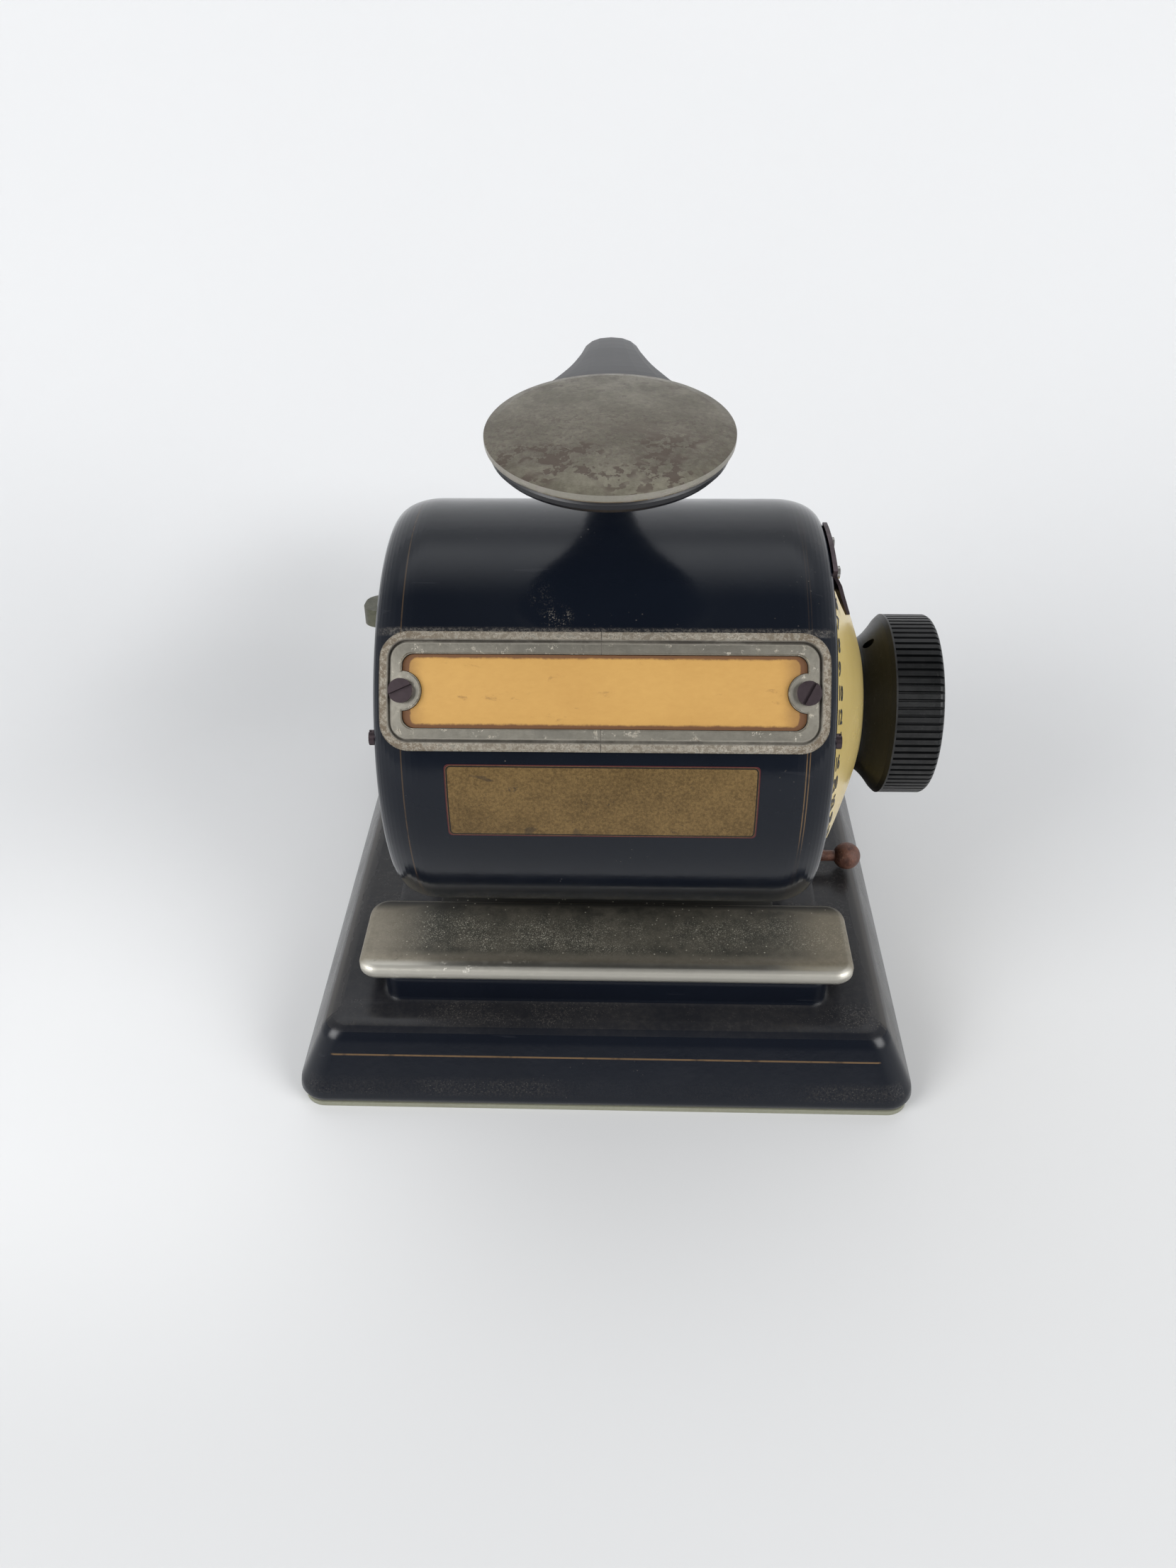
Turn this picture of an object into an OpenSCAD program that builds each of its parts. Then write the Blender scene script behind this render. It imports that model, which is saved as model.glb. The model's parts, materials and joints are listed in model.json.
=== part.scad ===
// Check protector: a desk machine that prints an amount line on a cheque.
// A turned cylinder of raised lines sits in a lacquered drum over a nickelled table.
// The palm lever behind the drum draws a bar whose ramps lift the platen to the line.
// Millimetres, +Z up, +Y away from the user. The origin is the centre of the underside.

/* [Base] */
// Width of the base casting
base_w = 160; // [150:1:180]
// Depth of the base casting
base_d = 170; // [166:1:190]
// Height of the base's flat top above the desk
base_h = 22; // [21:0.5:24]
// Inset of the flat top from the base's foot
base_slope = 8; // [6:0.5:9]
// Height of the upright roll round the foot
foot_roll = 5; // [4:0.5:6]
// Radius of the base's corners in plan
base_corner = 7; // [5:0.5:9]
// Thickness of the cast walls of the base
base_wall = 4.5; // [4:0.25:5]
// Thickness of the felt under the base
felt_t = 1.5; // [1:0.25:2.5]
// Thickness of the sheet cover inside the foot
cover_t = 1.5; // [1.2:0.1:1.8]

/* [Plinth and table] */
// Half width of the plinth
plinth_half_w = 57.5; // [57:0.5:59]
// Height of the plinth above the base's top
plinth_h = 8; // [7.5:0.25:9]
// Front face of the plinth
plinth_front_y = -67; // [-69:0.5:-66]
// Rear face of the plinth
plinth_back_y = 60; // [59:0.5:64]
// Half width of the table's front board
table_half_w = 63.8; // [62:0.2:66]
// Depth of the table's front board
table_board_d = 26.5; // [24:0.5:28]
// Thickness of the table
table_t = 3.8; // [3.4:0.1:4]
// Radius of the table's corners
table_corner = 5; // [3:0.5:7]

/* [Drum] */
// Outer radius of the drum housing
drum_r = 50; // [49.5:0.1:50.5]
// Half length of the drum housing
drum_half_l = 50; // [50:0.25:51]
// Wall of the drum housing
drum_wall = 2.8; // [2.4:0.1:3]
// Place of the drum's axis in depth
axis_y = -26.3; // [-27:0.1:-26]
// Gap of the throat between the table and the drum
throat_gap = 5.1; // [4.6:0.1:6]
// Length of the rounded shoulder at each end
shoulder_l = 10; // [8:0.5:11]
// Drop of the shoulder at the end face
shoulder_drop = 5; // [4:0.25:5.25]
// Thickness of the end plates
end_plate_t = 3; // [2.5:0.25:3.5]
// Lip of the housing round each end plate
mouth_lip = 1.6; // [1.4:0.1:2]

/* [Printing] */
// Gap between the raised lines and the inside of the housing
type_gap = 4.6; // [4.4:0.1:5]
// Height of the raised lines
type_h = 1.8; // [1.2:0.1:2.2]
// Half length of the raised lines
type_half_l = 38; // [36:0.5:39]
// Number of amount lines and index notches
line_count = 48; // [44:4:52]
// Radius of the shaft that carries the cylinder
shaft_r = 4; // [3.5:0.1:4.5]
// Width of the platen bar
platen_w = 9; // [8:0.25:10]
// Thickness of the rubber strip on the platen
strip_t = 1.6; // [1.2:0.1:2]
// Room left for the cheque between the type and the platen
paper_t = 0.2; // [0.1:0.05:0.3]
// Radius of the ink roller
ink_r = 7; // [6:0.25:7.5]

/* [Nameplate and label] */
// Half width of the nameplate frame
plate_half_w = 47.5; // [46:0.25:48]
// Height of the nameplate frame measured straight across
plate_chord = 25.4; // [24:0.2:26]
// Angle of the nameplate's middle above the level front
plate_angle = 35.8; // [35:0.2:37]
// Width of the nameplate's border
plate_border = 4.8; // [4.4:0.1:5.2]
// Width of the raised lip round the nameplate
plate_lip = 2; // [1.8:0.05:2.05]
// Radius of the nameplate's outer corners
plate_corner = 6; // [5:0.25:7]
// Distance of the nameplate screws from the middle
plate_screw_x = 42.8; // [42.2:0.1:43.2]
// Half width of the gold label
label_half_w = 33.9; // [32:0.1:36]
// Offset of the gold label from the middle
label_x = -0.4; // [-1:0.1:1]
// Height of the gold label
label_h = 18; // [16:0.5:19]
// Angle of the label's middle above the level front
label_angle = 7.4; // [7:0.1:8]

/* [Knob and dial] */
// Radius over the knob's flutes
knob_r = 22.3; // [21:0.1:23]
// Length of the fluted part
knob_l = 12.5; // [11:0.25:14]
// Distance of the fluted part from the drum's end face
knob_gap = 16.8; // [16.6:0.1:18]
// Number of flutes round the knob
flute_count = 76; // [60:4:90]
// Depth of the flutes
flute_depth = 0.7; // [0.4:0.05:0.9]
// Radius of the knob's neck
neck_r = 16; // [15:0.25:17]
// Gap between the dial's rim and the mouth of the housing
dial_gap = 1.6; // [1.4:0.1:2]
// Thickness of the celluloid
dial_t = 1.6; // [1.2:0.1:2]

/* [Press lever] */
// Radius of the palm pad
pad_r = 24; // [22:0.25:25]
// Place of the palm pad in depth
pad_y = -57.6; // [-60:0.2:-56]
// Height of the palm pad's rim
pad_z = 171.5; // [170:0.5:173]
// Offset of the palm pad to the right
pad_x = 1.1; // [0:0.1:1.5]
// Forward tilt of the palm pad
pad_tilt = 6.5; // [5:0.5:10]
// Rise of the palm pad's domed face
pad_crown = 1.8; // [1:0.1:2.5]
// Place of the lever's pivot in depth
pivot_y = 40; // [39.5:0.1:40.5]
// Height of the lever's pivot
pivot_z = 62; // [61.5:0.1:62.5]
// Radius of the pivot rod
pivot_r = 4; // [3.5:0.1:4.5]
// Length of the lever's tail from the pivot to the drive pin
tail_l = 52; // [51.5:0.1:52]
// Stroke of the lever in degrees
lever_stroke = 14; // [12:0.5:14]

/* [Catch] */
// Diameter of the ball on the catch pin
ball_d = 7.9; // [7:0.1:8.5]
// Distance of the ball's centre from the plinth's side
ball_reach = 12.2; // [11:0.2:13]
// Place of the catch pin in depth
catch_y = -13.3; // [-14:0.1:-12]
// Gap between the ball and the foot's flat top
catch_gap = 0.9; // [0.4:0.1:1.2]

/* [Fasteners] */
// Radius of the small screws
screw_r = 1.5; // [1.3:0.1:1.7]
// Radius of the small screws' heads
screw_head_r = 3; // [2.6:0.1:3.1]
// Radius of the pedestal bolts
bolt_r = 2; // [1.8:0.1:2.3]
// Radius of the pedestal bolts' heads
bolt_head_r = 3.6; // [3.2:0.1:4]
// Radius of the housing screws' heads
housing_head_r = 2.4; // [2.1:0.1:2.6]
// Radius of the nameplate screws
plate_screw_r = 1.3; // [1.1:0.1:1.5]
// Radius of the nameplate screws' heads
plate_head_r = 2.6; // [2.3:0.05:2.6]

/* [Hidden] */
$fn = 64;

// Running clearance of a shaft or pin in its bore, on the radius
run = 0.05;
// Seating clearance of pieces that are fixed together
seat = 0.05;
// Clearance of moving pieces that only pass each other
pass = 0.4;
// Overlap that lets joined solids cut cleanly
eps = 0.02;

// Levels and places that follow from the sizes above
plinth_top = base_h + plinth_h;
table_top = plinth_top + table_t;
table_front_y = plinth_front_y - 0.5;
table_back_y = table_front_y + table_board_d;
axis_z = table_top + throat_gap + drum_r;
inner_r = drum_r - drum_wall;
type_r = inner_r - type_gap;
print_z = axis_z - type_r;
platen_rest_z = table_top - 0.2;
platen_rise = print_z - paper_t - platen_rest_z;
bar_pull = tail_l * lever_stroke * PI / 180;
ramp_angle = atan(platen_rise / bar_pull);
end_x = drum_half_l;
mouth_r = drum_r - shoulder_drop - mouth_lip;
dial_r = mouth_r - dial_gap;
floor_z = felt_t + cover_t;
echo(platen_rise = platen_rise, ramp_angle = ramp_angle, axis_z = axis_z, bar_pull = bar_pull);

// Points on a circular arc, from one angle to another
function arc(cx, cy, r, from, to, n) =
    [for (i = [0 : n]) [cx + r * cos(from + (to - from) * i / n), cy + r * sin(from + (to - from) * i / n)]];

// Points on a curve from a to c that is drawn towards b
function curve(a, b, c, n) =
    [for (i = [0 : n]) let (t = i / n) (1 - t) * (1 - t) * a + 2 * t * (1 - t) * b + t * t * c];

// Places its children on the drum's axis, their Z along the drum's length
module on_axis(x = 0) {
    translate([x, axis_y, axis_z]) rotate([0, 90, 0]) children();
}

// Places its children on the drum's surface at an angle above the level front, Z outwards
module on_drum(angle, x = 0, r = drum_r) {
    translate([x, axis_y - r * cos(angle), axis_z + r * sin(angle)]) rotate([90 - angle, 0, 0]) children();
}

// A cylinder along X between two places
module rod_x(x0, x1, y, z, r) {
    translate([x0, y, z]) rotate([0, 90, 0]) cylinder(h = x1 - x0, r = r);
}

// A side profile, drawn as depth against height, carried along X
module side_profile(x0, x1, points) {
    translate([x0, 0, 0]) rotate([90, 0, 90]) linear_extrude(x1 - x0) polygon(points);
}

// A rounded rectangle in plan, given by its limits
module rounded_rect(x0, x1, y0, y1, r) {
    translate([x0 + r, y0]) square([x1 - x0 - 2 * r, y1 - y0]);
    translate([x0, y0 + r]) square([x1 - x0, y1 - y0 - 2 * r]);
    for (x = [x0 + r, x1 - r], y = [y0 + r, y1 - r]) translate([x, y]) circle(r);
}

// A slotted cheese-head screw, its head's seat at the origin and its head towards +Z
module slotted_screw(shank_r, shank_l, head_r, head_h, slot_w = 0.6) {
    difference() {
        union() {
            translate([0, 0, -shank_l]) cylinder(h = shank_l + eps, r = shank_r);
            cylinder(h = head_h, r = head_r);
        }
        translate([-head_r, -slot_w / 2, head_h / 2]) cube([2 * head_r, slot_w, head_h]);
    }
}

// Base casting

cavity_x = base_w / 2 - base_slope - base_wall - 2;
cavity_y = base_d / 2 - base_slope - base_wall - 2;
cover_half_w = cavity_x + 3;
cover_half_d = cavity_y + 3;
deck_under = base_h - base_wall;
plinth_wall = 4;
plinth_under = plinth_top - plinth_wall;
guide_x = 31;
guide_front_y = -44;
guide_l = 98;
tail_slot = [7, pivot_y - 5, pivot_y + 15];
platen_half_l = type_half_l + 2.5;
platen_slot_half_w = platen_w / 2 + pass;
boss_r = screw_r + 2.5;
bolt_boss_r = bolt_r + 4;
rib_t = 3;
cover_screw_x = cavity_x - boss_r + 1;
cover_screw_y = cavity_y - boss_r + 1;
cover_screw_l = 7;
cover_head_h = 0.9;
table_screw_x = 44;
table_screw_y = table_front_y + table_board_d / 2;
pedestal_bolt_x = 39;
pedestal_bolt_ys = [10, 49];
pedestal_bolt_l = 10;
catch_z = base_h + ball_d / 2 + catch_gap;
catch_pin_r = 1.6;
catch_collar_r = 2.3;
catch_travel = 4;

// One level of the sloping foot, given by its height and its inset
module foot_slice(z, inset) {
    r = base_corner - inset * 0.25;
    translate([0, 0, z]) linear_extrude(0.01)
        hull() for (x = [-1, 1], y = [-1, 1])
            translate([x * (base_w / 2 - inset - r), y * (base_d / 2 - inset - r)]) circle(r, $fn = 32);
}

// The solid outline of the foot: an upright roll, a slope and a rounded upper edge
module foot_outline() {
    top = base_h - 0.01;
    hull() {
        foot_slice(felt_t, 1.4);
        foot_slice(felt_t + 0.9, 0.35);
        foot_slice(felt_t + 2.2, 0);
        foot_slice(felt_t + foot_roll * 0.8, 0.3);
        foot_slice(felt_t + foot_roll + 0.6, 1.3);
        foot_slice(top - 3, base_slope - 1.4);
        foot_slice(top - 1.3, base_slope - 0.2);
        foot_slice(top - 0.4, base_slope + 1.3);
        foot_slice(top, base_slope + 3.4);
    }
}

module base_casting() {
    color([0.07, 0.08, 0.13]) difference() {
        union() {
            foot_outline();
            translate([0, 0, base_h - 2]) linear_extrude(plinth_h + 2)
                rounded_rect(-plinth_half_w, plinth_half_w, plinth_front_y, plinth_back_y, 4);
        }
        difference() {
            union() {
                translate([-cavity_x, -cavity_y, felt_t - eps])
                    cube([2 * cavity_x, 2 * cavity_y, deck_under - felt_t + eps]);
                translate([-plinth_half_w + plinth_wall, plinth_front_y + plinth_wall, deck_under - 1])
                    cube([2 * (plinth_half_w - plinth_wall), plinth_back_y - plinth_front_y - 2 * plinth_wall,
                          plinth_under - deck_under + 1]);
            }
            for (x = [-1, 1], y = [-1, 1]) translate([x * cover_screw_x, y * cover_screw_y, floor_z])
                cylinder(h = base_h - floor_z, r = boss_r);
            for (x = [-1, 1], y = pedestal_bolt_ys) translate([x * pedestal_bolt_x, y, deck_under])
                cylinder(h = plinth_h + base_wall, r = bolt_boss_r);
            for (x = [-guide_x - rib_t, guide_x]) translate([x, guide_front_y, floor_z])
                cube([rib_t, guide_l, plinth_top - floor_z]);
        }
        translate([-cover_half_w, -cover_half_d, felt_t - eps])
            cube([2 * cover_half_w, 2 * cover_half_d, cover_t + eps]);
        translate([-platen_half_l - pass, axis_y - platen_slot_half_w, deck_under - 1])
            cube([2 * (platen_half_l + pass), 2 * platen_slot_half_w, plinth_h + base_wall + 4]);
        translate([-tail_slot[0], tail_slot[1], deck_under - 1])
            cube([2 * tail_slot[0], tail_slot[2] - tail_slot[1], plinth_h + base_wall + 4]);
        for (x = [-1, 1], y = [-1, 1]) translate([x * cover_screw_x, y * cover_screw_y, floor_z - eps])
            cylinder(h = cover_screw_l + 1, r = screw_r + seat);
        for (x = [-1, 1]) translate([x * table_screw_x, table_screw_y, plinth_under - 1])
            cylinder(h = plinth_wall + 2, r = screw_r + seat);
        for (x = [-1, 1], y = pedestal_bolt_ys) translate([x * pedestal_bolt_x, y, deck_under - 1])
            cylinder(h = plinth_h + base_wall + 2, r = bolt_r + seat);
        rod_x(plinth_half_w - plinth_wall - 1, plinth_half_w + 1, catch_y, catch_z, catch_pin_r + run);
        translate([plinth_half_w - plinth_wall - 10, catch_y - catch_collar_r - pass, deck_under - 1])
            cube([10, 2 * (catch_collar_r + pass), catch_z + catch_collar_r + pass - deck_under + 1]);
    }
}

module base_felt() {
    color([0.78, 0.80, 0.66]) linear_extrude(felt_t)
        rounded_rect(-base_w / 2 + 1, base_w / 2 - 1, -base_d / 2 + 0.6, base_d / 2 - 1, base_corner - 1);
}

module bottom_cover() {
    color([0.35, 0.35, 0.36]) difference() {
        translate([-cover_half_w + seat, -cover_half_d + seat, felt_t])
            cube([2 * (cover_half_w - seat), 2 * (cover_half_d - seat), cover_t]);
        for (x = [-1, 1], y = [-1, 1]) translate([x * cover_screw_x, y * cover_screw_y, felt_t - eps]) {
            cylinder(h = cover_head_h + 0.1, r = screw_head_r + 0.1);
            cylinder(h = cover_t + 1, r = screw_r + seat);
        }
    }
}

module cover_screws() {
    color([0.45, 0.44, 0.42])
        for (x = [-1, 1], y = [-1, 1])
            translate([x * cover_screw_x, y * cover_screw_y, felt_t + cover_head_h + 0.1 - eps])
                rotate([180, 0, 0]) slotted_screw(screw_r, cover_screw_l, screw_head_r, cover_head_h);
}

// Check table

module check_table() {
    tongue_half_w = drum_half_l - 5;
    tongue_back_y = 2.6;
    color([0.62, 0.61, 0.56]) difference() {
        union() {
            difference() {
                table_board();
                translate([-table_half_w - 1, table_front_y - 1, plinth_top - 1])
                    cube([2 * table_half_w + 2, table_board_d + 2, 1]);
            }
            translate([-tongue_half_w, table_back_y - 6, plinth_top])
                cube([2 * tongue_half_w, tongue_back_y - table_back_y + 6, table_t - 0.4]);
        }
        translate([-platen_half_l - pass, axis_y - platen_slot_half_w, plinth_top - 1])
            cube([2 * (platen_half_l + pass), 2 * platen_slot_half_w, table_t + 2]);
        for (x = [-1, 1]) translate([x * table_screw_x, table_screw_y, plinth_top - eps])
            cylinder(h = table_t - 1.4, r = screw_r + seat);
    }
}

// The front board with a rounded upper edge, as three levels in one smooth outline
module table_board() {
    hull() for (level = [[0, 0.5], [0.8, 0], [table_t - 1.5, 0], [table_t - 0.6, 0.45], [table_t - 0.01, 1.5]])
        translate([0, 0, plinth_top + level[0]]) linear_extrude(0.01)
            hull() for (x = [-1, 1], y = [table_front_y + table_corner, table_back_y - table_corner])
                translate([x * (table_half_w - table_corner), y])
                    circle(table_corner - level[1], $fn = 32);
}

module table_screws() {
    color([0.4, 0.4, 0.38])
        for (x = [-1, 1]) translate([x * table_screw_x, table_screw_y, plinth_under])
            rotate([180, 0, 0]) slotted_screw(screw_r, plinth_wall + table_t - 1.6, screw_head_r, 1.6);
}

// Pedestal

pedestal_half_w = drum_half_l - 4;
pedestal_side = 6;
pedestal_front_y = 3;
pedestal_back_y = plinth_back_y - 3;
pedestal_shelf_z = axis_z + 8;
pedestal_wall = 4;
pedestal_corner = 5;
pedestal_bend_z = pivot_z - 4;
pedestal_bend_y = pivot_y - 4;
arm_slot_half_w = 9;

module pedestal() {
    wall = pedestal_wall;
    back = concat(
        [[pedestal_front_y, plinth_top], [pedestal_back_y, plinth_top]],
        curve([pedestal_back_y, pedestal_bend_z], [pedestal_back_y - 1, pedestal_shelf_z - 4],
              [pedestal_bend_y, pedestal_shelf_z], 12),
        [[pedestal_front_y, pedestal_shelf_z]]);
    inner = concat(
        [[pedestal_front_y + wall, plinth_top - eps], [pedestal_back_y - wall, plinth_top - eps]],
        curve([pedestal_back_y - wall, pedestal_bend_z - 2], [pedestal_back_y - wall - 1, pedestal_shelf_z - 2 * wall],
              [pedestal_bend_y - 2, pedestal_shelf_z - wall], 12),
        [[pedestal_bend_y - 4 * wall, pedestal_shelf_z - wall], [pedestal_front_y + wall, axis_z - 19]]);
    color([0.08, 0.09, 0.13]) difference() {
        intersection() {
            side_profile(-pedestal_half_w, pedestal_half_w, back);
            translate([0, 0, plinth_top - 1]) linear_extrude(pedestal_shelf_z - plinth_top + 2)
                rounded_rect(-pedestal_half_w, pedestal_half_w, pedestal_front_y - 2 * pedestal_corner,
                             pedestal_back_y, pedestal_corner);
        }
        difference() {
            side_profile(-pedestal_half_w + pedestal_side, pedestal_half_w - pedestal_side, inner);
            for (x = [-1, 1], y = pedestal_bolt_ys) translate([x * pedestal_bolt_x, y, plinth_top - 1])
                cylinder(h = pedestal_bolt_l + 5, r = bolt_r + 3);
        }
        on_axis(-pedestal_half_w - 1) cylinder(h = 2 * pedestal_half_w + 2, r = drum_r + seat, $fn = 96);
        translate([-arm_slot_half_w, pivot_y - 16.5, pivot_z + 14])
            cube([2 * arm_slot_half_w, 27, pedestal_shelf_z]);
        rod_x(-pedestal_half_w + pedestal_side, pedestal_half_w - pedestal_side, ink_y, ink_z, ink_r + 1);
        rod_x(-pedestal_half_w - 1, pedestal_half_w + 1, pivot_y, pivot_z, pivot_r + seat);
        for (x = [-1, 1], y = pedestal_bolt_ys) translate([x * pedestal_bolt_x, y, plinth_top - eps])
            cylinder(h = pedestal_bolt_l + 1, r = bolt_r + seat);
        for (x = [-1, 1], angle = housing_screw_angles)
            on_drum(angle, x * housing_screw_x) translate([0, 0, -1])
                cylinder(h = housing_screw_l, r = screw_r + seat);
    }
}

module pedestal_bolts() {
    color([0.4, 0.4, 0.4])
        for (x = [-1, 1], y = pedestal_bolt_ys) translate([x * pedestal_bolt_x, y, deck_under])
            rotate([180, 0, 0])
                slotted_screw(bolt_r, plinth_top - deck_under + pedestal_bolt_l, bolt_head_r, 2.4, 0.9);
}

// Drum housing

housing_screw_angles = [181, 202];
housing_screw_x = drum_half_l - 7;
housing_screw_l = 9;
spot_depth = 0.25;
end_screw_l = 7;
ink_window_half_w = pedestal_half_w - pedestal_side + 0.25;
end_screw_angles = [22.8, 142.8, 262.8];
end_screw_r = mouth_r + 0.45;
end_screw_shank = 0.9;
end_screw_head = 1.7;
ink_angle = 220;

// Half of the housing's section, as place along the axis against radius
function shoulder_points() =
    [for (i = [0 : 12]) let (a = 90 * i / 12)
        [end_x - shoulder_l + shoulder_l * sin(a), drum_r - shoulder_drop + shoulder_drop * cos(a)]];

module drum_housing() {
    right = shoulder_points();
    count = len(right);
    left = [for (i = [0 : count - 1]) [-right[count - 1 - i][0], right[count - 1 - i][1]]];
    seat_x = end_x - end_plate_t;
    inner_x = end_x - shoulder_l + 2;
    section = concat(left, right, [
        [end_x, mouth_r], [seat_x, mouth_r], [seat_x, mouth_r - 1.4], [seat_x - 1.6, mouth_r - 1.4],
        [seat_x - 1.6, mouth_r + 1.2], [inner_x, inner_r], [-inner_x, inner_r],
        [-seat_x + 1.6, mouth_r + 1.2], [-seat_x + 1.6, mouth_r - 1.4], [-seat_x, mouth_r - 1.4],
        [-seat_x, mouth_r], [-end_x, mouth_r]]);
    color([0.05, 0.06, 0.11]) difference() {
        on_axis() rotate_extrude($fn = 128) polygon([for (p = section) [p[1], p[0]]]);
        translate([-platen_half_l - 1, axis_y - platen_slot_half_w - 1, axis_z - drum_r - 1])
            cube([2 * platen_half_l + 2, 2 * platen_slot_half_w + 2, drum_wall + 8]);
        on_drum(ink_angle) translate([-ink_window_half_w, -ink_r - 1, -drum_wall - 3])
            cube([2 * ink_window_half_w, 2 * ink_r + 2, drum_wall + 5]);
        for (x = [-1, 1], angle = housing_screw_angles) on_drum(angle, x * housing_screw_x) {
            translate([0, 0, -drum_wall - 5]) cylinder(h = drum_wall + 6, r = screw_r + seat);
            translate([0, 0, -drum_wall - 6]) cylinder(h = 6 + spot_depth, r = housing_head_r + 0.2);
        }
        for (x = [-1, 1]) on_drum(plate_angle, x * plate_screw_x) translate([0, 0, -drum_wall - 3])
            cylinder(h = drum_wall + 4, r = plate_screw_r + seat);
        for (x = [-1, 1], angle = end_screw_angles) end_screw_place(x, angle)
            translate([0, 0, -end_screw_l - 0.2]) cylinder(h = end_screw_l + 2, r = end_screw_shank + seat);
        for (angle = pointer_screw_angles) pointer_screw_place(angle) translate([0, 0, -3])
            cylinder(h = 4, r = 0.8 + seat);
    }
}

module housing_screws() {
    color([0.4, 0.4, 0.4])
        for (x = [-1, 1], angle = housing_screw_angles)
            on_drum(angle, x * housing_screw_x, inner_r + spot_depth) rotate([180, 0, 0])
                slotted_screw(screw_r, housing_screw_l, housing_head_r, 1.4);
}

// Places a screw on the face of an end plate, its head outwards
module end_screw_place(side, angle) {
    translate([side * end_x, axis_y - end_screw_r * cos(angle), axis_z + end_screw_r * sin(angle)])
        rotate([0, side * 90, 0]) children();
}

bush_r = 7;
bush_flange_r = 10;

module end_plate_disc(side) {
    difference() {
        on_axis(side > 0 ? end_x - end_plate_t : -end_x) cylinder(h = end_plate_t, r = mouth_r - seat, $fn = 128);
        on_axis(side > 0 ? end_x - end_plate_t - 1 : -end_x - 1) cylinder(h = end_plate_t + 2, r = bush_r + seat);
        for (angle = end_screw_angles) end_screw_place(side, angle) translate([0, 0, -end_plate_t - 1])
            cylinder(h = end_plate_t + 2, r = end_screw_shank + seat);
    }
}

index_angle = 92;
index_pivot_angle = 128;
index_pivot_r = mouth_r - 7.9;
index_pivot = [axis_y - index_pivot_r * cos(index_pivot_angle), axis_z + index_pivot_r * sin(index_pivot_angle)];
index_lift = 3;
index_drop = 2.3;
tab_angle = 69;
tab_r = mouth_r - 8.3;
tab_l = 10.4;

module left_end_plate() {
    slot_width = 5.4;
    reach = norm([axis_y - tab_r * cos(tab_angle), axis_z + tab_r * sin(tab_angle)] - index_pivot);
    toward = atan2(axis_z + tab_r * sin(tab_angle) - index_pivot[1],
                   axis_y - tab_r * cos(tab_angle) - index_pivot[0]);
    color([0.06, 0.07, 0.12]) difference() {
        end_plate_disc(-1);
        for (i = [0 : 6])
            translate([-end_x - 1, index_pivot[0], index_pivot[1]]) rotate([90, 0, 90])
                rotate(toward + index_drop - (index_lift + index_drop) * i / 6)
                translate([reach - tab_l / 2 - pass, -slot_width / 2, 0])
                    cube([tab_l + 2 * pass, slot_width, end_plate_t + 2]);
        translate([-end_x - 1, index_pivot[0], index_pivot[1]]) rotate([0, 90, 0])
            cylinder(h = end_plate_t + 2, r = 2 + seat);
    }
}

module right_end_plate() {
    color([0.06, 0.07, 0.12]) end_plate_disc(1);
}

module end_plate_screws() {
    color([0.12, 0.11, 0.13])
        for (side = [-1, 1], angle = end_screw_angles)
            end_screw_place(side, angle) slotted_screw(end_screw_shank, end_screw_l, end_screw_head, 1.2);
}

module flanged_bush(side) {
    on_axis(side > 0 ? end_x - end_plate_t - 4 : -end_x - 1.2) difference() {
        union() {
            cylinder(h = end_plate_t + 5.2, r = bush_r);
            translate([0, 0, side > 0 ? 2.6 : end_plate_t + 1.2]) cylinder(h = 1.4, r = bush_flange_r);
        }
        translate([0, 0, -1]) cylinder(h = end_plate_t + 8, r = shaft_r + run);
    }
}

module left_bush() {
    color([0.72, 0.58, 0.28]) flanged_bush(-1);
}

module right_bush() {
    color([0.72, 0.58, 0.28]) flanged_bush(1);
}

// Nameplate and label

window_half_w = plate_half_w - plate_border;
window_chord = plate_chord - 2 * plate_border;
ear_r = 4.2;

// A ring of the drum's surface between two heights above it
module drum_skin(low, high) {
    on_axis(-drum_half_l - 5) difference() {
        cylinder(h = 2 * drum_half_l + 10, r = drum_r + high, $fn = 128);
        translate([0, 0, -1]) cylinder(h = 2 * drum_half_l + 12, r = drum_r + low, $fn = 128);
    }
}

// A flat outline pushed out of the drum's middle at an angle
module radial_cut(angle) {
    on_drum(angle, 0, 0) translate([0, 0, drum_r * 0.6]) linear_extrude(drum_r) children();
}

module window_outline(grow) {
    difference() {
        rounded_rect(-window_half_w - grow, window_half_w + grow, -window_chord / 2 - grow,
                     window_chord / 2 + grow, 2.4);
        for (x = [-1, 1]) translate([x * plate_screw_x, 0]) circle(ear_r - grow);
    }
}

module frame_outline(inset) {
    rounded_rect(-plate_half_w + inset, plate_half_w - inset, -plate_chord / 2 + inset,
                 plate_chord / 2 - inset, plate_corner - inset);
}

module nameplate_frame() {
    color([0.55, 0.52, 0.45]) difference() {
        union() {
            intersection() {
                drum_skin(seat, 1.2);
                radial_cut(plate_angle) difference() {
                    frame_outline(0);
                    window_outline(0);
                }
            }
            intersection() {
                drum_skin(1.0, 1.9);
                radial_cut(plate_angle) difference() {
                    frame_outline(0.3);
                    frame_outline(plate_lip);
                }
            }
            intersection() {
                drum_skin(1.0, 1.55);
                radial_cut(plate_angle) difference() {
                    frame_outline(plate_lip + 0.4);
                    window_outline(0.25);
                }
            }
        }
        for (x = [-1, 1]) on_drum(plate_angle, x * plate_screw_x) translate([0, 0, -1])
            cylinder(h = 4, r = plate_screw_r + seat);
    }
}

module nameplate_card() {
    color([0.85, 0.62, 0.30]) intersection() {
        drum_skin(seat, 0.6);
        radial_cut(plate_angle) window_outline(-0.1);
    }
}

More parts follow.
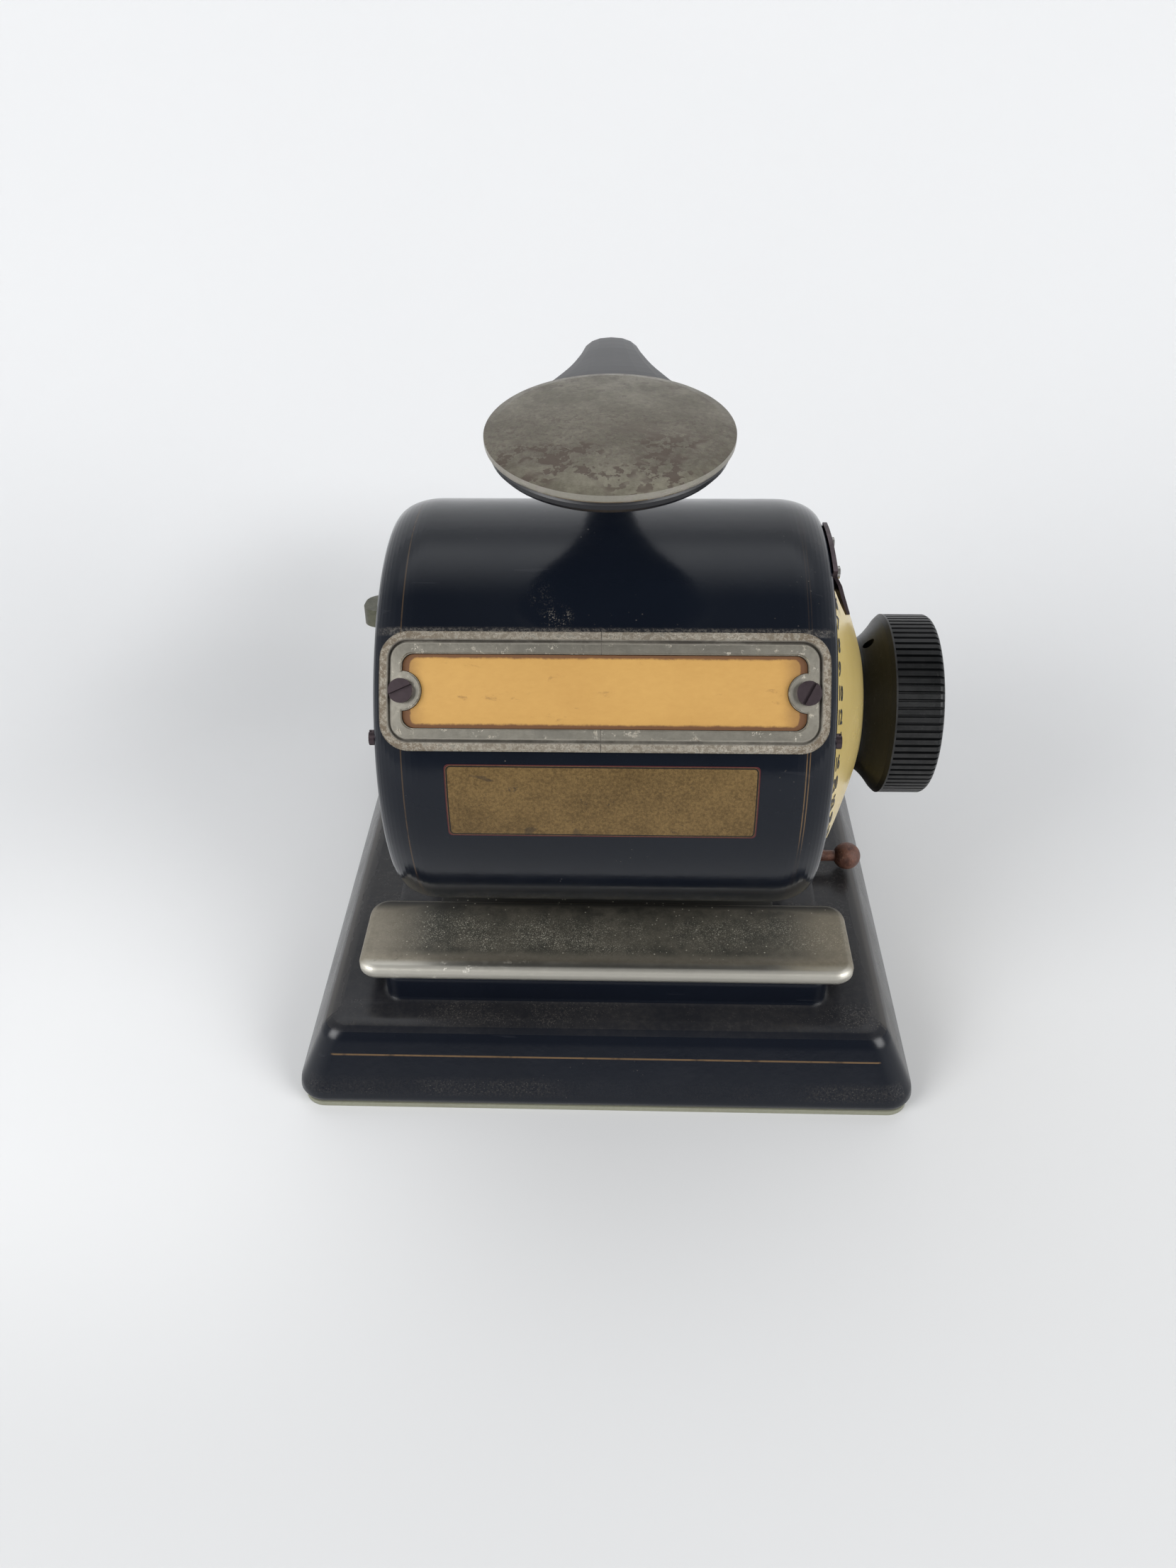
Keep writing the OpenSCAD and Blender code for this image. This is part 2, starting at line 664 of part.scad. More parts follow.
module nameplate_screws() {
    color([0.22, 0.17, 0.18])
        for (x = [-1, 1]) on_drum(plate_angle, x * plate_screw_x, drum_r + 1.55)
            rotate(x > 0 ? 62 : 24) slotted_screw(plate_screw_r, drum_wall + 3, plate_head_r, 1.1, 0.7);
}

module gold_label() {
    color([0.55, 0.43, 0.2]) intersection() {
        drum_skin(0, 0.12);
        radial_cut(label_angle)
            rounded_rect(label_x - label_half_w, label_x + label_half_w, -label_h / 2, label_h / 2, 1);
    }
}

// Pointer over the dial

pointer_angle = 73;
pointer_strip_angles = [72, 98];

module pointer() {
    strip_in = dial_r + 0.9;
    strip_out = drum_r - shoulder_drop + 1.5;
    steps = 8;
    from = 180 - pointer_strip_angles[1];
    to = 180 - pointer_strip_angles[0];
    strip = concat(arc(0, 0, strip_out, from, to, steps), arc(0, 0, strip_in, to, from, steps));
    color([0.12, 0.12, 0.12]) difference() {
        union() {
            translate([end_x, axis_y, axis_z]) rotate([90, 0, 90]) linear_extrude(1) polygon(strip);
            on_drum(pointer_angle, end_x, strip_in + 1.9) pointer_blade();
        }
        for (angle = pointer_screw_angles) pointer_screw_place(angle) translate([0, 0, -1.5])
            cylinder(h = 3, r = 0.8 + seat);
    }
}

// The blade runs along the dial's rim, bends away from it and narrows to its tip
module pointer_blade() {
    bend = [[0.1, 3], [1.0, 3], [1.0, -0.4], [2.7, -3.9], [4.1, -6.6], [3.6, -6.9], [2.0, -4.2], [0.1, -0.4]];
    outline = [[3, 1.5], [3, -1.5], [-0.8, -2.0], [-6.3, -6.1], [-6.7, -5.5], [-2.6, -0.8]];
    intersection() {
        translate([0, 0, -8]) linear_extrude(12) polygon(bend);
        rotate([90, 0, 90]) linear_extrude(5) polygon(outline);
    }
}

pointer_screw_angles = [74.5, 89];

module pointer_screw_place(angle) {
    r = (dial_r + 0.9 + drum_r - shoulder_drop + 1.5) / 2 - 0.35;
    translate([end_x + 1, axis_y - r * cos(angle), axis_z + r * sin(angle)]) rotate([0, 90, 0]) children();
}

module pointer_screws() {
    color([0.4, 0.36, 0.3])
        for (angle = pointer_screw_angles) pointer_screw_place(angle) slotted_screw(0.8, 2.5, 1.4, 0.8, 0.4);
}

// Shaft, type cylinder, dial and knob

wheel_x = -type_half_l - 3.6;
wheel_t = 2.6;
wheel_r = type_r - 8.6;
notch_depth = 1.2;
collar_x = -end_x - 1.2 - 4.2;
knob_face_x = end_x + knob_gap + knob_l;
flare_l = 5.8;
neck_x = end_x + knob_gap - flare_l;
knob_hub_r = 10.5;
knob_hub_l = 8;
knob_edge = 1.8;
knob_rim_w = 8.3;
knob_dish = 0.8;
set_screw_r = 1.2;

module main_shaft() {
    color([0.6, 0.6, 0.6]) on_axis(collar_x) cylinder(h = knob_face_x - collar_x - 1.5, r = shaft_r);
}

// Raised lines round a spoked core, grooved into words
web_t = 4;

module type_cylinder() {
    step = 360 / line_count;
    core_r = type_r - type_h;
    tooth = asin(1.5 / type_r);
    outline = [for (i = [0 : line_count - 1], p = [[-tooth * 1.25, core_r], [-tooth, type_r],
               [tooth, type_r], [tooth * 1.25, core_r]])
                   let (a = -90 + i * step + p[0]) p[1] * [cos(a), sin(a)]];
    color([0.62, 0.60, 0.55]) difference() {
        union() {
            difference() {
                translate([-type_half_l, axis_y, axis_z]) rotate([90, 0, 90])
                    linear_extrude(2 * type_half_l) polygon(outline);
                for (x = [-22, -7, 13]) on_axis(x) difference() {
                    cylinder(h = 1.8, r = type_r + 1);
                    translate([0, 0, -1]) cylinder(h = 4, r = core_r);
                }
                on_axis(-type_half_l - 1) cylinder(h = 2 * type_half_l + 2, r = core_r - web_t);
            }
            on_axis(-type_half_l) cylinder(h = 2 * type_half_l, r = shaft_r + 5);
            for (x = [-type_half_l + web_t + 2, type_half_l - web_t - 6]) on_axis(x)
                cylinder(h = web_t, r = core_r - 3);
        }
        on_axis(-type_half_l - 1) cylinder(h = 2 * type_half_l + 2, r = shaft_r + seat / 2);
        for (a = [0 : 60 : 300]) on_axis(-type_half_l - 1) rotate(a)
            translate([(core_r - web_t + shaft_r + 5) / 2, 0, 0])
                cylinder(h = 2 * type_half_l + 2, r = (core_r - web_t - shaft_r - 5) / 4);
    }
}

module index_wheel() {
    step = 360 / line_count;
    outline = [for (i = [0 : line_count - 1], p = [[-0.30, 0], [-0.16, -notch_depth], [0.16, -notch_depth],
               [0.30, 0]])
                   let (a = notch_angle + (i + p[0]) * step, r = wheel_r + p[1]) r * [cos(a), sin(a)]];
    color([0.66, 0.54, 0.27]) difference() {
        union() {
            translate([wheel_x, axis_y, axis_z]) rotate([90, 0, 90]) linear_extrude(wheel_t) polygon(outline);
            on_axis(wheel_x - 1) cylinder(h = wheel_t + 1, r = shaft_r + 4.5);
        }
        on_axis(wheel_x - 2) cylinder(h = 8, r = shaft_r + seat / 2);
        for (a = [0 : 72 : 288]) on_axis(wheel_x - 1) rotate(a) translate([(wheel_r + shaft_r + 2) / 2, 0, 0])
            cylinder(h = wheel_t + 2, r = (wheel_r - shaft_r) / 5.5);
    }
}

module shaft_collar() {
    color([0.5, 0.5, 0.48]) difference() {
        on_axis(collar_x) cylinder(h = 4, r = 7.5);
        on_axis(collar_x - 1) cylinder(h = 6, r = shaft_r + seat / 2);
        translate([collar_x + 2, axis_y, axis_z + shaft_r - 1]) cylinder(h = 6, r = 1);
    }
}

dial_rim_x = end_x + 0.5;

module dial() {
    outer = curve([dial_rim_x, dial_r], [neck_x - 3, neck_r + 10.6], [neck_x + 0.2, neck_r + 0.4], 14);
    back = [for (i = [14 : -1 : 0]) [outer[i][0] - dial_t * 0.8, outer[i][1] - dial_t * 0.55]];
    bore = knob_hub_r + seat;
    tube_x = neck_x - knob_hub_l;
    section = concat(outer, [[neck_x + 0.2, bore], [tube_x, bore], [tube_x, bore + 1],
                             [neck_x - dial_t, bore + 1]], [for (p = back) if (p[0] > dial_rim_x - 0.2) p],
                     [[dial_rim_x, dial_r - 1.4]]);
    color([0.86, 0.80, 0.55]) difference() {
        on_axis() rotate_extrude($fn = 128) polygon([for (p = section) [p[1], p[0]]]);
        on_axis(end_x) cylinder(h = knob_gap + 3, r = bore + seat / 2);
    }
}

module knob() {
    start = end_x + knob_gap;
    flare = curve([neck_x + 0.2, neck_r], [start - 3.2, neck_r + 0.6], [start, knob_r - 0.9], 8);
    section = concat([[neck_x + 0.2, 0], [neck_x + 0.2, neck_r]], flare,
                     [[start + 0.9, knob_r]],
                     arc(knob_face_x - knob_edge, knob_r - knob_edge, knob_edge, 90, 0, 6),
                     [[knob_face_x, knob_r - knob_rim_w], [knob_face_x - knob_dish, knob_r - knob_rim_w - 1],
                      [knob_face_x - knob_dish, 0]]);
    step = 360 / flute_count;
    flutes = [for (i = [0 : flute_count - 1], p = [[-0.30, 0.06], [0.30, 0.06], [0.40, 1], [0.60, 1]])
                  let (a = (i + p[0]) * step, r = knob_r - p[1] * flute_depth) r * [cos(a), sin(a)]];
    hub_x = neck_x - knob_hub_l;
    color([0.07, 0.07, 0.07]) difference() {
        union() {
            difference() {
                on_axis() rotate_extrude($fn = 128) polygon([for (p = section) [p[1], p[0]]]);
                on_axis(start + 1.3) difference() {
                    cylinder(h = knob_l, r = knob_r + 1);
                    translate([0, 0, -1]) linear_extrude(knob_l + 2) polygon(flutes);
                }
            }
            on_axis(hub_x) cylinder(h = knob_hub_l + 1, r = knob_hub_r);
        }
        on_axis(hub_x - 1) cylinder(h = knob_face_x - hub_x + 2, r = shaft_r + seat / 2);
        translate([set_screw_x, axis_y, axis_z + shaft_r - 0.5]) cylinder(h = neck_r, r = set_screw_r + seat);
    }
}

set_screw_x = end_x + knob_gap - 3.4;

module knob_set_screw() {
    color([0.3, 0.3, 0.3]) difference() {
        translate([set_screw_x, axis_y, axis_z + shaft_r + seat])
            cylinder(h = neck_r - shaft_r - 0.8, r = set_screw_r);
        translate([set_screw_x - 2 * set_screw_r, axis_y - 0.25, axis_z + neck_r - 1.3])
            cube([4 * set_screw_r, 0.5, 3]);
    }
}

// Index arm: its nose pin drops into the wheel's notches, its tab shows at the left end

index_t = 2;
index_x = wheel_x - 1.6 - index_t;
nose_r = 1;
nose_play = 0.15;
nose_seat_r = wheel_r + nose_r + nose_play;
nose = [axis_y - nose_seat_r * cos(index_angle), axis_z + nose_seat_r * sin(index_angle)];
// The nose once it has dropped, where the wheel has a notch for it
nose_in = let (d = nose - index_pivot)
    index_pivot + [d[0] * cos(index_drop) - d[1] * sin(index_drop), d[0] * sin(index_drop) + d[1] * cos(index_drop)];
notch_angle = atan2(nose_in[1] - axis_z, nose_in[0] - axis_y);

module index_arm() {
    tab = [axis_y - tab_r * cos(tab_angle), axis_z + tab_r * sin(tab_angle)];
    way = atan2(tab[1] - index_pivot[1], tab[0] - index_pivot[0]);
    length = norm(tab - index_pivot);
    color([0.52, 0.53, 0.45]) difference() {
        union() {
            translate([index_x, index_pivot[0], index_pivot[1]]) rotate([90, 0, 90]) linear_extrude(index_t) {
                circle(4);
                rotate(way) translate([0, -2]) square([length + 2, 4]);
                translate([nose[0] - index_pivot[0] - 2, 4])
                    square([4, nose[1] - index_pivot[1] - 4 + 2 * nose_r]);
            }
            rod_x(index_x + index_t / 2, wheel_x + wheel_t, nose[0], nose[1], nose_r);
            translate([-end_x - 5, index_pivot[0], index_pivot[1]]) rotate([90, 0, 90]) rotate(way)
                translate([length - tab_l / 2, 0, 0]) index_tab(index_x + end_x + 5 + index_t / 2);
        }
        rod_x(index_x - 1, index_x + index_t + 1, index_pivot[0], index_pivot[1], 2 + run);
    }
}

// The finger tab: a flat tongue with a round outer edge
module index_tab(depth) {
    rotate([-90, 0, 0]) translate([0, -depth, -2]) linear_extrude(4) intersection() {
        square([tab_l, depth]);
        union() {
            square([tab_l, depth - 4]);
            for (x = [4, tab_l - 4]) translate([x, depth - 4]) circle(4);
            translate([4, depth - 4]) square([tab_l - 8, 4]);
        }
    }
}

module index_stud() {
    color([0.5, 0.5, 0.5]) {
        rod_x(-end_x, index_x + index_t + 0.2, index_pivot[0], index_pivot[1], 2);
        rod_x(-end_x + end_plate_t, index_x - 0.15, index_pivot[0], index_pivot[1], 3.2);
        rod_x(index_x + index_t + 0.15, index_x + index_t + 0.9, index_pivot[0], index_pivot[1], 3);
    }
}

// Press lever

hub_r = 9;
hub_half_l = 14;
toe_y = pivot_y - 12.5;
toe_z = pivot_z - 8;
spring_r = 3.6;
wire_r = 0.6;

// Stations of the arm: depth, height, direction, half width, half thickness
arm_stations = [
    [pivot_y, pivot_z + 4, 90, 6.6, 6.2],
    [pivot_y + 0.8, pivot_z + 30, 89, 6.0, 6.0],
    [pivot_y + 0.8, pad_z - 54, 92, 5.4, 5.8],
    [pivot_y - 3.2, pad_z - 34, 111, 5.5, 5.7],
    [pivot_y - 12.5, pad_z - 19.8, 135, 6.2, 5.6],
    [pivot_y - 26, pad_z - 10.4, 156, 6.9, 5.4],
    [pivot_y - 42, pad_z - 6.4, 172, 7.9, 5.0],
    [pad_y + 42.6, pad_z - 4.8, 175, 10.4, 4.7],
    [pad_y + 31.6, pad_z - 3.8, 176, 14.0, 4.4],
    [pad_y + 22.6, pad_z - 3.6, 180, pad_r - 6.2, 3.9],
    [pad_y + 13.6, pad_z - 4.1, 184, pad_r - 3.8, 3.3],
    [pad_y + 3.6, pad_z - 5.1, 187, pad_r - 4, 2.6]];
ring_n = 20;
bend_n = 3;

// A smooth value between stations, so that the arm has no corners
function mix(i, t, k) =
    let (n = len(arm_stations), a = arm_stations[max(i - 1, 0)][k], b = arm_stations[i][k],
         c = arm_stations[min(i + 1, n - 1)][k], d = arm_stations[min(i + 2, n - 1)][k])
    0.5 * (2 * b + (c - a) * t + (2 * a - 5 * b + 4 * c - d) * t * t + (3 * b - a - 3 * c + d) * t * t * t);

function station(j) = let (i = floor(j / bend_n), t = j / bend_n - i) [for (k = [0 : 4]) mix(i, t, k)];

// How far the arm has swayed towards the pad's side at a place in depth
function sway(y) = let (t = max(0, min(1, (pivot_y - y) / (pivot_y - pad_y - pad_r)))) pad_x * t * t * (3 - 2 * t);

// One rounded section of the arm
function arm_ring(s) =
    [for (q = [0 : ring_n - 1]) let (a = 360 * q / ring_n, u = cos(a), v = sin(a),
        w = s[3] * sign(u) * pow(abs(u), 0.85), h = s[4] * sign(v) * pow(abs(v), 0.85))
        [w + sway(s[0]), s[0] - h * sin(s[2]), s[1] + h * cos(s[2])]];

module arm_loft() {
    rings = bend_n * (len(arm_stations) - 1) + 1;
    points = [for (j = [0 : rings - 1]) each arm_ring(station(j))];
    sides = [for (j = [0 : rings - 2], q = [0 : ring_n - 1], half = [0, 1])
        let (a = j * ring_n + q, b = j * ring_n + (q + 1) % ring_n, c = a + ring_n, d = b + ring_n)
        half == 0 ? [a, b, c] : [b, d, c]];
    first = [[for (q = [ring_n - 1 : -1 : 0]) q]];
    last = [[for (q = [0 : ring_n - 1]) (rings - 1) * ring_n + q]];
    polyhedron(points, concat(sides, first, last));
}

// Places its children in the middle of the palm pad, Z along the pad's tilted axis
module on_pad() {
    translate([pad_x, pad_y, pad_z]) rotate([pad_tilt, 0, 0]) children();
}

bowl_top = -2.0;
bowl_depth = 6.4;

// The painted bowl that the pad is spun over
module bowl() {
    r = pad_r - 0.7;
    section = concat([[0, bowl_top]], [[r - 0.4, bowl_top]],
                     [for (i = [0 : 10]) let (a = 90 * i / 10) [r * cos(a), bowl_top - 0.6 - bowl_depth * sin(a)]]);
    rotate_extrude($fn = 72) polygon(section);
}

module press_lever() {
    color([0.1, 0.1, 0.12]) difference() {
        union() {
            rod_x(-hub_half_l, hub_half_l, pivot_y, pivot_z, hub_r);
            difference() {
                arm_loft();
                on_pad() translate([-2 * pad_r, -2.5 * pad_r, bowl_top]) cube([4 * pad_r, 3.75 * pad_r, 2 * pad_r]);
            }
            on_pad() bowl();
            side_profile(-5, 5, [[pivot_y - 4, pivot_z], [pivot_y - 3.4, pivot_z - tail_l],
                                 [pivot_y + 3.4, pivot_z - tail_l], [pivot_y + 4, pivot_z]]);
            rod_x(-5, 5, pivot_y, pivot_z - tail_l, 3.4);
            side_profile(-5, 5, [[pivot_y, pivot_z - 6], [pivot_y, pivot_z + 3], [toe_y - 4.5, toe_z + 5],
                                 [toe_y - 4.5, toe_z], [pivot_y - 5, toe_z]]);
        }
        rod_x(-hub_half_l - 1, hub_half_l + 1, pivot_y, pivot_z, pivot_r + run);
        rod_x(-6, 6, pivot_y, pivot_z - tail_l, pin_r + seat / 2);
    }
}

module palm_pad() {
    rim_t = 1.9;
    face_r = (pad_r * pad_r + pad_crown * pad_crown) / (2 * pad_crown);
    rise = asin(pad_r / face_r);
    crown = [for (i = [0 : 12]) let (a = rise * (1 - i / 12))
                [face_r * sin(a), 0.1 + face_r * cos(a) - (face_r - pad_crown)]];
    section = concat([[0, bowl_top]], [[pad_r - 0.9, bowl_top]],
                     arc(pad_r - 0.9, bowl_top + 0.9, 0.9, -90, 0, 4), [[pad_r, -0.2]],
                     [for (p = crown) if (p[0] < pad_r - 0.3) p], [[0, pad_crown + 0.1]]);
    color([0.55, 0.54, 0.46]) on_pad() translate([0, 0, seat / 2 + rim_t - 1.9])
        rotate_extrude($fn = 96) polygon(section);
}

module pivot_rod() {
    color([0.6, 0.6, 0.6]) {
        rod_x(-pedestal_half_w - 1.5, pedestal_half_w + 1.5, pivot_y, pivot_z, pivot_r);
    }
}

module pivot_spacers() {
    inner_face = pedestal_half_w - pedestal_side;
    color([0.55, 0.5, 0.4]) for (side = [-1, 1]) difference() {
        x0 = side > 0 ? hub_half_l + 0.15 : -inner_face;
        rod_x(x0, x0 + inner_face - hub_half_l - 0.15, pivot_y, pivot_z, pivot_r + 2.2);
        rod_x(x0 - 1, x0 + inner_face - hub_half_l + 1, pivot_y, pivot_z, pivot_r + seat);
    }
}

// Coil spring: one unbroken wire from its seat on the plinth to the lever's toe

spring_turns = 9;
spring_low = plinth_top + wire_r + 0.1;
spring_high = toe_z - wire_r - 0.1;
spring_steps = spring_turns * 8;
wire_n = 6;

function spring_point(i) =
    let (t = i / spring_steps, closed = 0.9 / spring_turns,
         rise = t < closed ? t / closed * 1.5 * wire_r
              : t > 1 - closed ? 1 - (1 - t) / closed * 1.5 * wire_r
              : 0,
         span = spring_high - spring_low, low = 1.5 * wire_r,
         z = t < closed ? rise : t > 1 - closed ? span - (1 - t) / closed * low
           : low + (t - closed) / (1 - 2 * closed) * (span - 2 * low))
    [spring_r * cos(360 * spring_turns * t), toe_y + spring_r * sin(360 * spring_turns * t), spring_low + z];

function spring_ring(i) =
    let (c = spring_point(i), a = 360 * spring_turns * i / spring_steps)
    [for (q = [0 : wire_n - 1]) let (b = 360 * q / wire_n)
        c + wire_r * [cos(b) * cos(a), cos(b) * sin(a), sin(b)]];

spring_gap = (spring_high - spring_low - 3 * wire_r) / (spring_turns - 1.8) - 2 * wire_r;
echo(spring_gap = spring_gap);

module lever_spring() {
    points = [for (i = [0 : spring_steps]) each spring_ring(i)];
    sides = [for (j = [0 : spring_steps - 1], q = [0 : wire_n - 1], half = [0, 1])
        let (a = j * wire_n + q, b = j * wire_n + (q + 1) % wire_n, c = a + wire_n, d = b + wire_n)
        half == 0 ? [a, c, b] : [b, c, d]];
    first = [[for (q = [0 : wire_n - 1]) q]];
    last = [[for (q = [wire_n - 1 : -1 : 0]) spring_steps * wire_n + q]];
    color([0.5, 0.5, 0.5]) polyhedron(points, concat(sides, first, last));
}

// Draw bar and platen

bar_low = floor_z + 0.3;
bar_top = bar_low + 3;
rail_x = 24;
rail_half_w = 3;
foot_half = platen_w / 2;
foot_low = bar_top + 1.2;
ramp_play = 0.2;
pin_r = 2;

module drive_pin() {
    color([0.6, 0.6, 0.6]) rod_x(-11, 11, pivot_y, pivot_z - tail_l, pin_r);
}

module draw_bar() {
    lug_y = pivot_y;
    lug_x = 7;
    lug_t = 3;
    lug_h = 12;
    slot = pin_r + 0.3;
    rear = axis_y + foot_half;
    low = foot_low - ramp_play;
    high = plinth_under - pass;
    reach = (high - low) / tan(ramp_angle);
    color([0.4, 0.4, 0.4]) difference() {
        union() {
            translate([-guide_x + 0.4, rear - reach, bar_low])
                cube([2 * guide_x - 0.8, pivot_y + 8 - rear + reach, bar_top - bar_low]);
            for (x = [-rail_x, rail_x])
                side_profile(x - rail_half_w, x + rail_half_w,
                             [[rear - reach, bar_low], [rear, bar_low], [rear, low], [rear - reach, high]]);
            for (x = [-lug_x - lug_t, lug_x]) translate([x, lug_y - 7, bar_low]) cube([lug_t, 14, lug_h]);
        }
        translate([-rail_x + 8, rear + 4, bar_low - 1])
            cube([2 * rail_x - 16, pivot_y - 14 - rear, bar_top - bar_low + 2]);
        for (x = [-lug_x - lug_t - 1, lug_x - 1])
            translate([x, lug_y - slot, pivot_z - tail_l - slot - 0.4]) cube([lug_t + 2, 2 * slot, lug_h]);
    }
}

module platen_bar() {
    top = platen_rest_z - strip_t;
    neck_z = deck_under + 2;
    slope = tan(ramp_angle);
    color([0.5, 0.5, 0.5]) {
        translate([-platen_half_l, axis_y - platen_w / 2, neck_z])
            cube([2 * platen_half_l, platen_w, top - neck_z]);
        for (x = [-rail_x, rail_x])
            side_profile(x - rail_half_w - 1, x + rail_half_w + 1,
                         [[axis_y - foot_half, foot_low + 2 * foot_half * slope],
                          [axis_y + foot_half, foot_low], [axis_y + foot_half, neck_z + 1],
                          [axis_y - foot_half, neck_z + 1]]);
    }
}

module platen_strip() {
    color([0.12, 0.11, 0.1])
        translate([-platen_half_l + 0.5, axis_y - platen_w / 2 + 0.5, platen_rest_z - strip_t])
            cube([2 * platen_half_l - 1, platen_w - 1, strip_t]);
}

// Ink roller behind the type cylinder

ink_at = type_r + ink_r + 0.3;
ink_y = axis_y - ink_at * cos(ink_angle);
ink_z = axis_z + ink_at * sin(ink_angle);
ink_axle_r = 2;

module ink_roller() {
    color([0.15, 0.13, 0.2]) difference() {
        rod_x(-type_half_l + 0.5, type_half_l - 0.5, ink_y, ink_z, ink_r);
        rod_x(-type_half_l - 1, type_half_l + 1, ink_y, ink_z, ink_axle_r + run);
    }
}

module ink_axle() {
    reach = pedestal_half_w - pedestal_side - 0.2;
    color([0.6, 0.6, 0.6]) rod_x(-reach, reach, ink_y, ink_z, ink_axle_r);
}

// Two small bearers on the pedestal's side walls
module ink_brackets() {
    wall = pedestal_half_w - pedestal_side;
    color([0.45, 0.42, 0.36]) for (side = [-1, 1]) difference() {
        x0 = side > 0 ? type_half_l : -wall;
        union() {
            rod_x(x0, x0 + wall - type_half_l, ink_y, ink_z, 4);
            translate([x0, ink_y, ink_z - 3]) cube([wall - type_half_l, 10, 6]);
        }
        rod_x(x0 - 1, x0 + wall, ink_y, ink_z, ink_axle_r + seat / 2);
    }
}

// Catch pin with its ball

module catch_pin() {
    inner = plinth_half_w - plinth_wall - catch_travel - 3;
    color([0.4, 0.3, 0.25])
        rod_x(inner, plinth_half_w + ball_reach - 0.5, catch_y, catch_z, catch_pin_r);
}

module catch_collar() {
    x0 = plinth_half_w - plinth_wall - catch_travel - 2.4;
    color([0.5, 0.5, 0.5]) difference() {
        rod_x(x0, x0 + 2, catch_y, catch_z, catch_collar_r);
        rod_x(x0 - 1, x0 + 3, catch_y, catch_z, catch_pin_r + seat / 2);
    }
}

module catch_ball() {
    color([0.35, 0.18, 0.14]) difference() {
        translate([plinth_half_w + ball_reach, catch_y, catch_z]) rotate([0, 90, 0])
            rotate_extrude() difference() {
                circle(ball_d / 2);
                translate([-ball_d, -ball_d]) square([ball_d, 2 * ball_d]);
            }
        rod_x(plinth_half_w, plinth_half_w + ball_reach - 0.4, catch_y, catch_z, catch_pin_r + seat / 2);
    }
}

base_casting();
base_felt();
bottom_cover();
cover_screws();
check_table();
table_screws();
pedestal();
pedestal_bolts();
drum_housing();
housing_screws();
left_end_plate();
right_end_plate();
end_plate_screws();
left_bush();
right_bush();
nameplate_frame();
nameplate_card();
nameplate_screws();
gold_label();
pointer();
pointer_screws();
main_shaft();
type_cylinder();
index_wheel();
shaft_collar();
dial();
knob();
knob_set_screw();
index_arm();
index_stud();
press_lever();
palm_pad();
pivot_rod();
pivot_spacers();
lever_spring();
drive_pin();
draw_bar();
platen_bar();
platen_strip();
ink_roller();
ink_axle();
ink_brackets();
catch_pin();
catch_ball();
catch_collar();
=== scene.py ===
import json
import math

import bmesh
import bpy
from mathutils import Matrix, Vector


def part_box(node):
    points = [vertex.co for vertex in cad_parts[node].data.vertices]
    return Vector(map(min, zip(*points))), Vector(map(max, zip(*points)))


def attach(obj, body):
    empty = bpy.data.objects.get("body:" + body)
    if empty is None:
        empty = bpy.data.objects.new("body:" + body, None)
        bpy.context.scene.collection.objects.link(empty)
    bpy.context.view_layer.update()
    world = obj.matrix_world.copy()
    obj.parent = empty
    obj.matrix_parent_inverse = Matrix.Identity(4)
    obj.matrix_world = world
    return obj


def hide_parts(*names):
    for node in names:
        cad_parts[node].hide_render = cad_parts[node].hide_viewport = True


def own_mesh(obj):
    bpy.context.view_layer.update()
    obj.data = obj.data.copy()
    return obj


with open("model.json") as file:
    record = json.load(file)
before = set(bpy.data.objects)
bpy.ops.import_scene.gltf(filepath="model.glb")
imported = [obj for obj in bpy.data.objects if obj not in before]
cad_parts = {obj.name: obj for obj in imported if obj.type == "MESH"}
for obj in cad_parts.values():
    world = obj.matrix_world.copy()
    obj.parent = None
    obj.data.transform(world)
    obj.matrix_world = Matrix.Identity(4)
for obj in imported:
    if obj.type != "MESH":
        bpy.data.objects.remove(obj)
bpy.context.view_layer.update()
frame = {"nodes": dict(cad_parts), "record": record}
MM = 0.001
X, Y, Z = (1, 0, 0), (0, 1, 0), (0, 0, 1)
FRONT = (0, -1, 0)

# Places that the looks refer to. The drum's angles run up from its foremost line.

drum_low, drum_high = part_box("drum_housing")
table_low, table_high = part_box("check_table")
pad_low, pad_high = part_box("palm_pad")
AXIS_Y = (drum_low.y + drum_high.y) / 2
DRUM_R = (drum_high.z - drum_low.z) / 2
AXIS_Z = drum_high.z - DRUM_R
DRUM_END = drum_high.x
PLATE_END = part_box("nameplate_frame")[1].x
PLATE_CORNER = 6 * MM
PLATE_ANGLE = math.radians(35.8)
LABEL_ANGLE = math.radians(7.4)
BASE_TOP = 22 * MM


def on_drum(angle):
    """The middle of the drum's surface at an angle, and the direction up along it there."""
    middle = Vector((0, AXIS_Y - DRUM_R * math.cos(angle), AXIS_Z + DRUM_R * math.sin(angle)))
    return middle, Vector((0, math.sin(angle), math.cos(angle)))


def half_height(node, angle):
    """Half the height of a node that lies on the drum, measured straight across it."""
    middle, rise = on_drum(angle)
    return max(abs((v.co - middle).dot(rise)) for v in frame["nodes"][node].data.vertices)


def add_object(name, data):
    """A new object in the scene."""
    made = bpy.data.objects.new(name, data)
    bpy.context.scene.collection.objects.link(made)
    return made


# The photograph's camera: its place, its aim and a phone's short lens. The focal length and the
# image are in the photograph's pixels, and the sensor is in millimetres, as Blender has it.

CAMERA_PLACE = Vector((4.27, -275.35, 254.45)) * MM
CAMERA_PITCH = math.radians(37.613)
CAMERA_YAW = math.radians(-2.167)
CAMERA_ROLL = math.radians(-0.782)
FOCAL_PX = 1661
IMAGE_H_PX = 2212
SENSOR_H = 36
NEAREST = 10 * MM


